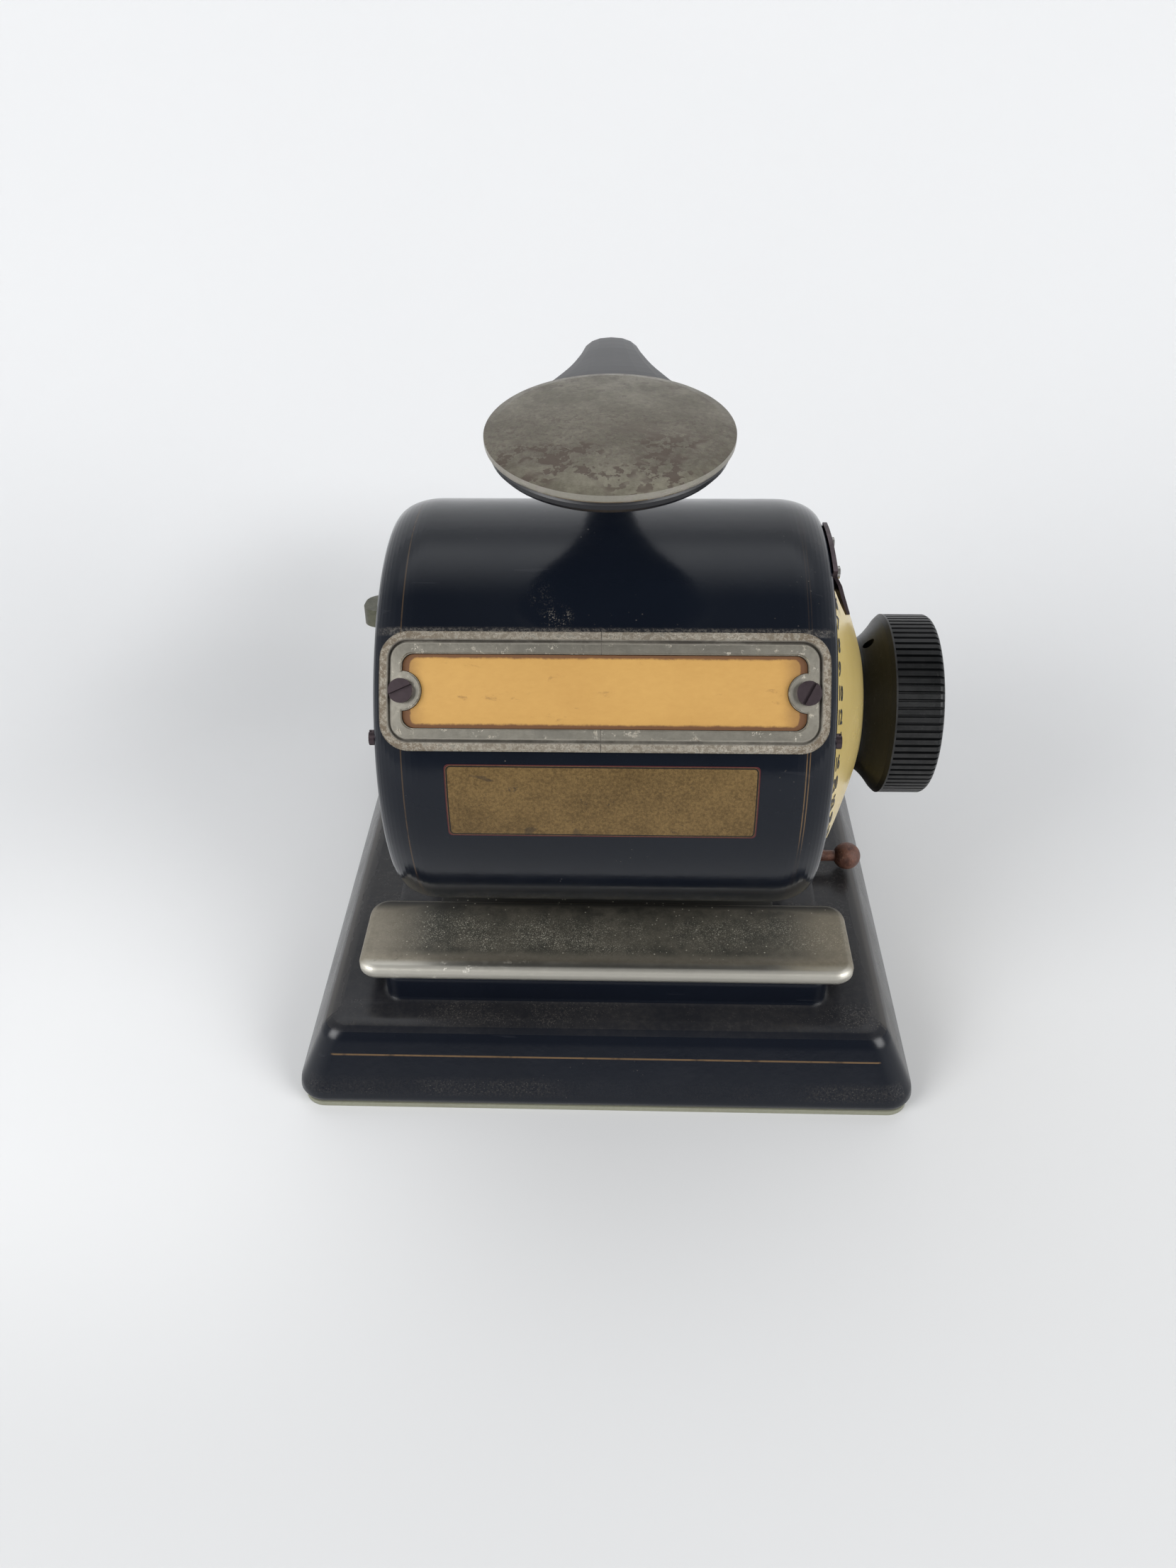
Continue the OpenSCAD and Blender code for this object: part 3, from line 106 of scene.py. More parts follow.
def make_camera():
    """The camera that sees the object as the photograph does."""
    forward = Vector((math.sin(CAMERA_YAW) * math.cos(CAMERA_PITCH),
                      math.cos(CAMERA_YAW) * math.cos(CAMERA_PITCH), -math.sin(CAMERA_PITCH)))
    level = Vector((math.cos(CAMERA_YAW), -math.sin(CAMERA_YAW), 0))
    upright = level.cross(forward)
    right = math.cos(CAMERA_ROLL) * level + math.sin(CAMERA_ROLL) * upright
    up = -math.sin(CAMERA_ROLL) * level + math.cos(CAMERA_ROLL) * upright
    data = bpy.data.cameras.new("camera")
    data.sensor_fit = "VERTICAL"
    data.sensor_height = SENSOR_H
    data.lens = SENSOR_H * FOCAL_PX / IMAGE_H_PX
    data.clip_start = NEAREST
    camera = add_object("camera", data)
    turn = Matrix((right, up, -forward)).transposed().to_4x4()
    camera.matrix_world = Matrix.Translation(CAMERA_PLACE) @ turn
    bpy.context.scene.camera = camera


# Node graphs

OTHER_NOISE = (1, 0.7, 1.3)  # the way from one draw of noise to the next
MIX_NUMBERS, MIX_COLOURS = (2, 3), (6, 7)  # the Mix node's inputs for each kind
BEVEL_SAMPLES = 6
DOT_CORE = 0.6  # the share of a grain that is solid


class Graph:
    """A node tree in the making. Each method adds nodes and returns their output, and any value
    given to it may be a fixed one or the output of a node."""

    def __init__(self, tree):
        self.tree = tree

    def node(self, kind, **settings):
        made = self.tree.nodes.new(kind)
        for key, value in settings.items():
            setattr(made, key, value)
        return made

    def link(self, value, socket):
        """Feeds a socket with a node's output, or sets it to a fixed value."""
        if isinstance(value, bpy.types.NodeSocket):
            self.tree.links.new(value, socket)
        else:
            socket.default_value = value

    def math(self, operation, *values):
        made = self.node("ShaderNodeMath", operation=operation)
        for value, socket in zip(values, made.inputs):
            self.link(value, socket)
        return made.outputs[0]

    def chain(self, operation, first, *others):
        """One operation on all the values in turn."""
        for value in others:
            first = self.math(operation, first, value)
        return first

    def plus(self, *values):
        return self.chain("ADD", *values)

    def times(self, *values):
        return self.chain("MULTIPLY", *values)

    def most(self, *values):
        return self.chain("MAXIMUM", *values)

    def less(self, value, other):
        return self.math("SUBTRACT", value, other)

    def size(self, value):
        return self.math("ABSOLUTE", value)

    def ramp(self, value, low, high, out_low=0.0, out_high=1.0, kind="SMOOTHSTEP"):
        """Carries low to out_low and high to out_high, and stays level beyond them."""
        made = self.node("ShaderNodeMapRange", interpolation_type=kind)
        for given, name in zip((value, low, high, out_low, out_high),
                               ("Value", "From Min", "From Max", "To Min", "To Max")):
            self.link(given, made.inputs[name])
        return made.outputs["Result"]

    def fall(self, value, low, high):
        """1 up to low, falling smoothly to 0 at high."""
        return self.ramp(value, low, high, 1.0, 0.0)

    def band(self, value, centre, half, soft):
        """1 within half of centre, falling smoothly to 0 over soft."""
        return self.fall(self.size(self.less(value, centre)), half, half + soft)


class Paint(Graph):
    """A material in the making. Places are in metres, in the object's own frame."""

    SOCKETS = {"colour": "Base Color", "rough": "Roughness", "metal": "Metallic",
               "specular": "Specular IOR Level", "sheen": "Sheen Weight",
               "scatter": "Subsurface Weight", "scatter_radius": "Subsurface Radius",
               "scatter_scale": "Subsurface Scale"}

    def __init__(self, name):
        self.material = bpy.data.materials.new(name)
        self.material.use_nodes = True
        super().__init__(self.material.node_tree)
        self.shader = self.tree.nodes["Principled BSDF"]
        self.coordinates = self.node("ShaderNodeTexCoord").outputs
        self.normal = None

    def texture(self, kind, scale, stretch, shift):
        mapping = self.node("ShaderNodeMapping")
        mapping.inputs["Scale"].default_value = stretch
        mapping.inputs["Location"].default_value = shift
        self.link(self.coordinates["Object"], mapping.inputs["Vector"])
        made = self.node(kind)
        made.inputs["Scale"].default_value = scale
        self.link(mapping.outputs[0], made.inputs["Vector"])
        return made

    def noise(self, scale, detail=4, rough=0.6, stretch=(1, 1, 1), offset=0.0, warp=0.0):
        """Noise from 0 to 1: scale in forms per metre, then how many finer layers it has and how
        strong they are. Another offset gives another draw."""
        shift = [offset * part for part in OTHER_NOISE]
        made = self.texture("ShaderNodeTexNoise", scale, stretch, shift)
        made.inputs["Detail"].default_value = detail
        made.inputs["Roughness"].default_value = rough
        made.inputs["Distortion"].default_value = warp
        return made.outputs["Fac"]

    def wander(self, reach, *noise, **settings):
        """Noise about 0 with a reach of so many metres in all."""
        return self.times(self.less(self.noise(*noise, **settings), 0.5), reach)

    def cells(self, scale, offset):
        """The distance to the nearest of many scattered points, in shares of their spacing."""
        made = self.texture("ShaderNodeTexVoronoi", scale, (1, 1, 1), [offset] * 3)
        return made.outputs["Distance"]

    def dots(self, scale, size, offset):
        """Small round grains, scale to a metre: size is the share of their spacing."""
        return self.fall(self.cells(scale, offset), size * DOT_CORE, size)

    def dot_product(self, source, direction):
        made = self.node("ShaderNodeVectorMath", operation="DOT_PRODUCT")
        self.link(self.coordinates[source], made.inputs[0])
        made.inputs[1].default_value = direction
        return made.outputs["Value"]

    def along(self, direction):
        """The place along a direction."""
        return self.dot_product("Object", direction)

    def facing(self, direction):
        """How far the surface faces a direction of the object, from -1 to 1."""
        return self.dot_product("Normal", direction)

    def up_drum(self, angle):
        """The height above the middle of what lies on the drum at an angle."""
        middle, rise = on_drum(angle)
        return self.less(self.along(rise), middle.dot(rise))

    def inset(self, x, v, half_w, half_h, corner):
        """How far a place lies inside a rectangle with rounded corners."""
        across = self.less(self.size(x), half_w - corner)
        upwards = self.less(self.size(v), half_h - corner)
        beyond = [self.math("POWER", self.most(off, 0.0), 2.0) for off in (across, upwards)]
        within = self.math("MINIMUM", self.most(across, upwards), 0.0)
        return self.less(corner, self.plus(self.math("SQRT", self.plus(*beyond)), within))

    def patch(self, place, reach):
        """1 at a place in x and z, falling smoothly to 0 at its reach in x and z."""
        shares = []
        for axis, centre, half in zip((X, Z), place, reach):
            off = self.math("DIVIDE", self.less(self.along(axis), centre), half)
            shares.append(self.math("POWER", self.size(off), 2.0))
        return self.fall(self.plus(*shares), 0.0, 1.0)

    def mix(self, share, a, b):
        """A colour between a and b."""
        made = self.node("ShaderNodeMix", data_type="RGBA")
        self.link(share, made.inputs["Factor"])
        for value, index in zip((a, b), MIX_COLOURS):
            self.link((*value, 1) if isinstance(value, tuple) else value, made.inputs[index])
        return made.outputs[2]

    def blend(self, share, a, b):
        """A number between a and b."""
        made = self.node("ShaderNodeMix", data_type="FLOAT")
        self.link(share, made.inputs["Factor"])
        for value, index in zip((a, b), MIX_NUMBERS):
            self.link(value, made.inputs[index])
        return made.outputs[0]

    def set(self, **values):
        """Feeds or sets the shader's own sockets."""
        for key, value in values.items():
            self.link(value, self.shader.inputs[self.SOCKETS[key]])

    def use_normal(self, normal):
        self.normal = normal
        self.link(normal, self.shader.inputs["Normal"])

    def soften(self, radius):
        """Rounds the shading of hard edges over a radius."""
        made = self.node("ShaderNodeBevel", samples=BEVEL_SAMPLES)
        made.inputs["Radius"].default_value = radius
        self.use_normal(made.outputs["Normal"])

    def bump(self, height, distance, strength):
        """Relief of a distance from 0 to 1 in height, on top of what there is."""
        made = self.node("ShaderNodeBump")
        made.inputs["Strength"].default_value = strength
        made.inputs["Distance"].default_value = distance
        self.link(height, made.inputs["Height"])
        if self.normal:
            self.link(self.normal, made.inputs["Normal"])
        self.use_normal(made.outputs["Normal"])


# Colours, in linear red, green and blue, and how rough some of the surfaces are

# the dust colour also paints sheen on the base's side slopes
DUST_AND_SHEEN, DUST_ROUGH = (0.12, 0.108, 0.092), 0.75
HAIR_SCRATCH = (0.10, 0.10, 0.11)
GOLD_LINE = (0.118, 0.074, 0.038)
# the colour and roughness of a painted highlight, laid on as bright bare nickel
PAINTED_HIGHLIGHT_NICKEL, HIGHLIGHT_ROUGH = (0.62, 0.60, 0.54), 0.44
GRIME_ROUGH = 0.62
GRIME_ENDS, GRIME_MIDDLE = (0.088, 0.074, 0.054), (0.024, 0.024, 0.019)
# the first colour below is a painted shadow, near black, under the drum
PAINTED_SHADOW_UNDER_DRUM, GRIME_GRAINS = (0.007, 0.007, 0.006), (0.40, 0.38, 0.31)
GROOVE_DIRT = (0.020, 0.015, 0.010)
CARD_DARK, CARD_PALE = (0.385, 0.20, 0.045), (0.565, 0.335, 0.092)
CARD_BROWN = (0.105, 0.040, 0.014)
GOLD_DARK, GOLD_PALE = (0.072, 0.044, 0.016), (0.180, 0.115, 0.044)
GOLD_WORN = (0.022, 0.018, 0.016)
INNER_RULE, OUTER_RULE = (0.012, 0.010, 0.010), (0.075, 0.020, 0.022)
CREAM_DARK, CREAM_PALE, CREAM_MARK = (0.485, 0.372, 0.138), (0.56, 0.44, 0.184), (0.26, 0.19, 0.07)
RUBBER_DARK, RUBBER_PALE = (0.0035, 0.004, 0.0045), (0.010, 0.0105, 0.0115)
RUBBER_CREST, RUBBER_GRIT = (0.085, 0.085, 0.086), (0.09, 0.088, 0.085)
PAINT_DARK, PAINT_PALE = (0.006, 0.0065, 0.009), (0.012, 0.013, 0.016)
# dust and painted sheen on the lever's upward faces, and bare chips
PAINT_DUST_AND_SHEEN, PAINT_CHIP = (0.135, 0.135, 0.138), (0.20, 0.18, 0.16)
FELT_DARK, FELT_PALE, FELT_STAIN = (0.15, 0.152, 0.10), (0.26, 0.26, 0.185), (0.12, 0.10, 0.065)
RUST_DARK, RUST_PALE, RUST_PIT = (0.055, 0.022, 0.016), (0.17, 0.075, 0.050), (0.28, 0.17, 0.12)
NUMBER_INK = (0.012, 0.012, 0.012)


def toned(colour, factor):
    return tuple(part * factor for part in colour)


# Lacquer, with its gold lines and where dust lies on it

# Marks on the drum's front: x and z, then the reach in x and z
DUST_HEAP = (-10.2 * MM, 129.6 * MM), (4.2 * MM, 2.0 * MM)
DUST_TRAIL = (-13.5 * MM, 132.0 * MM), (3.4 * MM, 2.6 * MM)
SHOULDER_CHIP = (47.5 * MM, 137.2 * MM), (2.2 * MM, 1.4 * MM)

# Gold lines and strips of dust: place, half of their width and the softness of their edges
LEFT_RING = -43.5 * MM, 0.07 * MM, 0.14 * MM
RIGHT_RING = 43.25 * MM, 0.06 * MM, 0.12 * MM
RIGHT_OUTER_RING = 43.9 * MM, 0.05 * MM, 0.12 * MM
BASE_LINE = 15.4 * MM, 0.13 * MM, 0.14 * MM
DUST_BEFORE_PLINTH = -71 * MM, 2 * MM, 5 * MM
DUST_LOW_IN_FRONT = 7.5 * MM, 0.8 * MM, 2.4 * MM

# Where a mark starts to change, and where it has changed
RINGS_APPEAR, RINGS_VANISH = (78 * MM, 92 * MM), (104 * MM, 116 * MM)
DRUM_FRONT = AXIS_Y - 8 * MM, AXIS_Y - 4 * MM
LEDGE_END = 46 * MM, 51 * MM
LINE_BEHIND, LINE_END = (-78 * MM, -77 * MM), (69.5 * MM, 70.5 * MM)
BASE_SLOPES_END = BASE_TOP - 1 * MM, BASE_TOP + 1 * MM


def lacquer(name, colour, line, dirt, film, specular, soft=0.0):
    """Glossy stoved lacquer with fine specks and hair scratches. line and dirt give where its gold
    line and its thicker dust lie, with painted sheen on the base's side slopes as well; film how
    much dust lies on all that faces up, and soft rounds its edges."""
    p = Paint(name)
    if soft:
        p.soften(soft)
    shade = p.mix(p.noise(26, 5, 0.6), toned(colour, 0.75), toned(colour, 1.3))
    hair = p.ramp(p.noise(60, 2, 0.5, stretch=(0.6, 9, 9), offset=1.7), 0.70, 0.72)
    shade = p.mix(p.times(hair, 0.05), shade, HAIR_SCRATCH)
    unworn = p.ramp(p.noise(140, 5, 0.7, offset=4.4), 0.34, 0.5, 0.35, 1.0)
    shade = p.mix(p.times(line(p), unworn), shade, GOLD_LINE)

    up = p.ramp(p.facing(Z), 0.75, 0.99)
    grain = p.ramp(p.noise(520, 8, 0.85, offset=3.1), 0.40, 0.66)
    cloud = p.ramp(p.noise(34, 4, 0.55, offset=3.1), 0.30, 0.75, 0.45, 1.0)
    lying = p.times(up, cloud, p.plus(p.times(grain, 0.45 * film), 0.55 * film))
    speckled = p.ramp(p.noise(60, 3, 0.5, offset=7.0), 0.56, 0.74, 0.0, 0.45)
    specks = p.times(p.fall(p.cells(620, 0.3), 0.07, 0.13), speckled)
    # dirt(p) brings dust, and on the base also painted sheen and a painted highlight on the side
    # slopes
    dust = p.most(lying, specks, dirt(p))

    gloss = p.ramp(p.noise(70, 4, 0.6, offset=9), 0.3, 0.7, 0.11, 0.19)
    p.set(colour=p.mix(dust, shade, DUST_AND_SHEEN), specular=specular)
    p.set(rough=p.blend(dust, gloss, DUST_ROUGH))
    p.bump(p.noise(240, 3, 0.6), 0.06 * MM, 0.35)
    p.bump(dust, 0.06 * MM, 0.6)
    return p.material


def drum_lines(p):
    """A faint gold ring near the drum's left end and two near its right, kept best in front."""
    x, z = p.along(X), p.along(Z)
    right = p.most(p.band(x, *RIGHT_RING), p.band(x, *RIGHT_OUTER_RING))
    kept = p.times(p.ramp(z, *RINGS_APPEAR), p.fall(z, *RINGS_VANISH))
    return p.most(p.times(p.band(x, *LEFT_RING), 0.4), p.times(right, p.most(kept, 0.10)))


def drum_dirt(p):
    """Dust along the nameplate's upper edge, a heap of it with a trail to the left, and a chip at
    the right shoulder, all of them on the drum's front alone."""
    front = p.fall(p.along(Y), *DRUM_FRONT)
    edge = half_height("nameplate_frame", PLATE_ANGLE) + 0.1 * MM
    above = p.times(p.band(p.up_drum(PLATE_ANGLE), edge, 0.3 * MM, 0.9 * MM),
                    p.fall(p.size(p.along(X)), *LEDGE_END))
    ledge = p.times(above, p.ramp(p.noise(1500, 4, 0.8, offset=2.0), 0.46, 0.62, 0.2, 1.0), 0.8)
    grains = p.most(p.dots(1500, 0.34, 0.4), p.times(p.dots(2600, 0.42, 0.9), 0.7))
    kept = p.ramp(p.noise(420, 4, 0.7, offset=5.5), 0.42, 0.58)
    heap = p.times(p.patch(*DUST_HEAP), grains, kept)
    trail = p.times(p.patch(*DUST_TRAIL), grains, kept, 0.25)
    chip = p.times(p.patch(*SHOULDER_CHIP), p.ramp(p.noise(420, 4, 0.8), 0.5, 0.56))
    return p.times(front, p.most(p.times(p.most(heap, trail, ledge), 0.8), p.times(chip, 0.2)))


def base_dirt(p):
    """Dust on the base's flat top before the plinth and low on its front, and on the side slopes a
    pale film that is partly dust and partly painted sheen, with a painted highlight along their
    upper edge."""
    z = p.along(Z)
    sideways = p.size(p.facing(X))
    grains = p.most(p.ramp(p.noise(1700, 6, 0.85, offset=6.0), 0.42, 0.74), p.dots(1300, 0.22, 0.6))
    cloud = p.ramp(p.noise(30, 4, 0.6, offset=1.2), 0.4, 0.62, 0.10, 0.7)
    flat = p.times(p.band(p.along(Y), *DUST_BEFORE_PLINTH), p.ramp(p.facing(Z), 0.9, 0.99))
    low = p.times(p.ramp(p.facing(FRONT), 0.5, 0.7), p.band(z, *DUST_LOW_IN_FRONT), 0.5)
    # dust and painted sheen: the side slopes lightened towards the dust colour
    film = p.times(p.ramp(sideways, 0.45, 0.75, 0.0, 0.22), p.ramp(z, 3 * MM, 16 * MM, 0.3, 1.0))
    # painted highlight along the side slopes' upper edge
    ridge_highlight = p.times(p.band(sideways, 0.36, 0.12, 0.16), 0.42)
    on_side = p.times(p.fall(p.size(p.facing(Y)), 0.06, 0.20), p.fall(z, *BASE_SLOPES_END))
    return p.most(p.times(flat, grains, cloud), p.times(low, grains, cloud),
                  p.times(p.most(film, ridge_highlight), on_side))


def base_line(p):
    """The gold line on the base's front slope alone."""
    front = p.fall(p.along(Y), *LINE_BEHIND)
    inner = p.fall(p.size(p.along(X)), *LINE_END)
    return p.times(p.band(p.along(Z), *BASE_LINE), front, inner)


# Nickel and other metals

def nickel(name, bright, dull, brown, rough, scale=1.0, soft=0.0, stain=None, grime_and_shade=None, painted_highlight=None):
    """Aged nickel plate, from dull to bright and from the second to the first of rough in clouds.
    stain gives where it is brown, or it has a few spots; the next argument where dirt and painted
    shade hide it, and their colour; the last where a painted highlight lies, as bright bare metal.
    A larger scale makes its marks finer, and soft rounds its edges."""
    p = Paint(name)
    if soft:
        p.soften(soft)
    cloud = p.ramp(p.noise(70 * scale, 7, 0.7), 0.34, 0.66)
    fine = p.ramp(p.noise(620 * scale, 6, 0.8, offset=2.0), 0.35, 0.65)
    shade = p.mix(p.blend(0.45, cloud, fine), dull, bright)
    rust = stain(p) if stain else few_spots(p, scale)
    shade = p.mix(p.times(rust, 0.85), shade, brown)
    metal = p.less(1.0, p.times(rust, 0.7))
    roughness = p.blend(cloud, rough[1], rough[0])
    # dirt, and on the table also painted shade under the drum
    if grime_and_shade:
        share, grime_and_shade_colour = grime_and_shade(p)
        shade = p.mix(share, shade, grime_and_shade_colour)
        metal = p.times(metal, p.less(1.0, p.times(share, 0.95)))
        roughness = p.blend(share, roughness, GRIME_ROUGH)
    # painted highlight: bright bare-metal colour where light would glint
    if painted_highlight:
        highlight_share = painted_highlight(p)
        shade = p.mix(highlight_share, shade, PAINTED_HIGHLIGHT_NICKEL)
        roughness = p.blend(highlight_share, roughness, HIGHLIGHT_ROUGH)
    p.set(colour=shade, metal=metal, rough=p.most(roughness, p.times(rust, 0.6)))
    p.bump(p.noise(700 * scale, 4, 0.7, offset=1.0), 0.07 * MM, 0.5)
    p.bump(rust, -0.05 * MM, 0.7)
    return p.material


def few_spots(p, scale):
    """Small spots, scattered in clouds."""
    spots = p.ramp(p.noise(300 * scale, 6, 0.8, offset=5.0, warp=0.6), 0.58, 0.66)
    return p.times(spots, p.ramp(p.noise(38 * scale, 3, 0.5, offset=8.0), 0.45, 0.65))


def table_dust(p):
    """Dirt on the table, with none along its front edge and darker within the drum's width, a
    painted shadow, near black, under the drum at its rear, and pale grains in a wandering strip and
    scattered loose."""
    y = p.along(Y)
    front, rear = table_low.y, table_high.y
    up = p.ramp(p.facing(Z), 0.7, 0.95)
    back = p.ramp(y, front + 2.2 * MM, front + 7.5 * MM)
    middle = p.ramp(p.size(p.along(X)), 44 * MM, 62 * MM, 1.0, 0.35)
    cloud = p.ramp(p.noise(48, 8, 0.75, offset=2.2), 0.30, 0.60, 0.66, 1.0)
    # painted shadow: the table's rear under the drum is darkened almost to black
    shade_under_drum = p.ramp(y, front + 19 * MM, front + 25 * MM)
    share = p.most(p.times(back, middle, cloud, up, 0.97), p.times(shade_under_drum, up, 0.98))
    grime_and_shade_colour = p.mix(shade_under_drum, p.mix(middle, GRIME_ENDS, GRIME_MIDDLE), PAINTED_SHADOW_UNDER_DRUM)

    wandering = p.plus(y, p.wander(7 * MM, 45, 3, 0.5, offset=5.0))
    strip = p.band(wandering, front + 13.5 * MM, 2.0 * MM, 7 * MM)
    fine = p.ramp(p.noise(1700, 6, 0.9, offset=3.0), 0.50, 0.60, 0.0, 0.42)
    grains = p.most(fine, p.dots(1150, 0.26, 0.2), p.dots(2300, 0.34, 0.7))
    patches = p.ramp(p.noise(44, 5, 0.65, offset=9.0), 0.40, 0.60, 0.18, 1.0)
    fewer_behind = p.ramp(y, rear - 30 * MM, front + 8 * MM, 0.3, 1.0)
    loose = p.times(p.dots(520, 0.13, 0.5), fewer_behind, 0.9)
    pale = p.most(p.times(strip, grains, patches, 0.85), loose)
    return share, p.mix(pale, grime_and_shade_colour, GRIME_GRAINS)


# painted highlight: the table's rolled front edge is painted bright as a highlight band
def table_edge(p):
    return p.ramp(p.along(Y), table_low.y + 1.6 * MM, table_low.y + 4.0 * MM, 0.85, 0.0)


def pad_edge(p):
    """The pad's rim, painted bright as a highlight."""
    return p.ramp(p.facing(Z), 0.20, 0.62, 0.32, 0.0)


def pad_dirt(p):
    """Brown spots in clusters on the pad's nearer half, fine mottling round its middle, and darker
    marks, more of them towards its rear."""
    y = p.along(Y)
    front, rear = pad_low.y, pad_high.y
    near = p.band(y, front + 10 * MM, 5 * MM, 13 * MM)
    middle = p.band(y, front + 19 * MM, 5 * MM, 14 * MM)
    spots = p.ramp(p.noise(430, 4, 0.62, offset=6.0, warp=0.1), 0.485, 0.515)
    cluster = p.ramp(p.noise(95, 3, 0.6, offset=2.5), 0.40, 0.52, 0.06, 1.0)
    mottle = p.ramp(p.noise(850, 6, 0.85, offset=1.5), 0.42, 0.58, 0.0, 0.75)
    far = p.ramp(y, front + 18 * MM, rear - 6 * MM, 0.35, 0.75)
    dark = p.times(p.ramp(p.noise(420, 6, 0.85, offset=9.0), 0.42, 0.62), far)
    return p.most(p.times(near, spots, cluster), p.times(middle, mottle), dark)


def plate_inset(p):
    """How far a place lies inside the nameplate frame's outline."""
    half_h = half_height("nameplate_frame", PLATE_ANGLE)
    return p.inset(p.along(X), p.up_drum(PLATE_ANGLE), PLATE_END, half_h, PLATE_CORNER)


def plate_rust(p):
    """Golden-brown rust on the frame's outer lip, most at its ends, and a few spots."""
    ends = p.ramp(p.size(p.along(X)), PLATE_END - 20 * MM, PLATE_END - 3 * MM, 0.75, 1.0)
    pits = p.ramp(p.noise(900, 6, 0.85, offset=3.0), 0.37, 0.55)
    lip = p.times(p.fall(plate_inset(p), 1.5 * MM, 2.2 * MM), p.most(pits, 0.38), ends)
    spots = p.times(p.ramp(p.noise(420, 6, 0.8, offset=7.0), 0.58, 0.68), 0.7)
    return p.most(lip, spots)


def plate_dirt(p):
    """Dark dirt in the groove behind the lip, and a hairline seam across the frame's middle."""
    uneven = p.ramp(p.noise(90, 5, 0.7), 0.3, 0.6, 0.6, 0.9)
    groove = p.times(p.band(plate_inset(p), 2.2 * MM, 0.22 * MM, 0.45 * MM), uneven)
    seam = p.band(p.along(X), -0.6 * MM, 0.07 * MM, 0.06 * MM)
    return p.most(groove, p.times(seam, 0.8)), GROOVE_DIRT


def plain_metal(name, colour, rough, stain):
    """Bare metal, duller in clouds, with a few stained marks."""
    p = Paint(name)
    cloud = p.ramp(p.noise(160, 6, 0.7), 0.35, 0.65)
    marks = p.ramp(p.noise(420, 5, 0.75, offset=4.0), 0.60, 0.72)
    shade = p.mix(cloud, toned(colour, 0.72), colour)
    p.set(colour=p.mix(p.times(marks, 0.7), shade, stain), metal=0.9)
    p.set(rough=p.blend(marks, p.blend(cloud, rough + 0.14, rough), 0.7))
    p.bump(p.noise(700, 3, 0.6), 0.05 * MM, 0.5)
    return p.material


def rusty():
    """Steel with an even skin of reddish-brown rust."""
    p = Paint("rusty_steel")
    cloud = p.ramp(p.noise(330, 7, 0.75), 0.32, 0.68)
    pits = p.ramp(p.noise(900, 4, 0.8, offset=3.0), 0.55, 0.75)
    shade = p.mix(p.times(pits, 0.55), p.mix(cloud, RUST_DARK, RUST_PALE), RUST_PIT)
    p.set(colour=shade, metal=0.25, rough=p.blend(cloud, 0.38, 0.62))
    p.bump(p.plus(cloud, pits), 0.12 * MM, 0.7)
    return p.material


# The nameplate's paper and the gold transfer

def card_paper():
    """Aged orange-cream paper, browned in from its ends, with a dark rim and a few stains."""
    p = Paint("card")
    x = p.along(X)
    half_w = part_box("nameplate_card")[1].x
    half_h = half_height("nameplate_card", PLATE_ANGLE)
    ragged = p.wander(3.2 * MM, 240, 7, 0.85, offset=3.0)
    wave = p.wander(6.0 * MM, 34, 3, 0.6, offset=4.0)
    ends = p.ramp(p.plus(p.size(x), ragged, wave), half_w - 5.5 * MM, half_w - 0.5 * MM)
    inset = p.inset(x, p.up_drum(PLATE_ANGLE), half_w - 1.5 * MM, half_h - 0.75 * MM, 1.5 * MM)
    rim = p.fall(p.plus(inset, p.times(ragged, 0.4)), -0.2 * MM, 0.4 * MM)
    soil = p.ramp(p.noise(210, 6, 0.75, offset=11.0, stretch=(0.5, 1, 1)), 0.60, 0.70)
    brown = p.most(p.times(ends, 0.5), p.times(rim, 0.95), p.times(soil, 0.45))
    fibre = p.noise(900, 4, 0.7, stretch=(0.5, 1, 1))
    paper = p.mix(p.blend(0.6, fibre, p.noise(38, 4, 0.6, offset=6.0)), CARD_DARK, CARD_PALE)
    p.set(colour=p.mix(brown, paper, CARD_BROWN), rough=0.55)
    p.bump(fibre, 0.04 * MM, 0.4)
    return p.material


def gold_transfer():
    """A worn gold transfer, speckled and scratched, with a dark-red border and a dark rule."""
    p = Paint("gold_transfer")
    low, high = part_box("gold_label")
    centre = (low.x + high.x) / 2
    half_h = half_height("gold_label", LABEL_ANGLE)
    across = p.less(p.along(X), centre)
    inset = p.inset(across, p.up_drum(LABEL_ANGLE), high.x - centre, half_h, 1.4 * MM)
    inner = p.band(inset, 0.50 * MM, 0.10 * MM, 0.10 * MM)
    outer = p.fall(inset, 0.20 * MM, 0.32 * MM)
    speckle = p.blend(0.35, p.noise(1500, 4, 0.8, offset=4.0), p.noise(60, 6, 0.65, offset=2.0))
    gold = p.mix(p.ramp(speckle, 0.34, 0.66), GOLD_DARK, GOLD_PALE)
    rubbed = p.times(p.ramp(p.noise(190, 7, 0.85, offset=5.0), 0.60, 0.68), 0.75)
    scratch = p.times(p.ramp(p.noise(75, 2, 0.5, stretch=(1, 6, 2), offset=8.0), 0.68, 0.70), 0.5)
    worn = p.most(rubbed, scratch)
    shade = p.mix(outer, p.mix(inner, p.mix(worn, gold, GOLD_WORN), INNER_RULE), OUTER_RULE)
    p.set(colour=shade, metal=0.2, rough=p.blend(worn, 0.36, 0.5), specular=0.25)
    p.bump(p.less(1.0, worn), 0.02 * MM, 0.4)
    return p.material


# Dial, knob, lever, felt and rubber

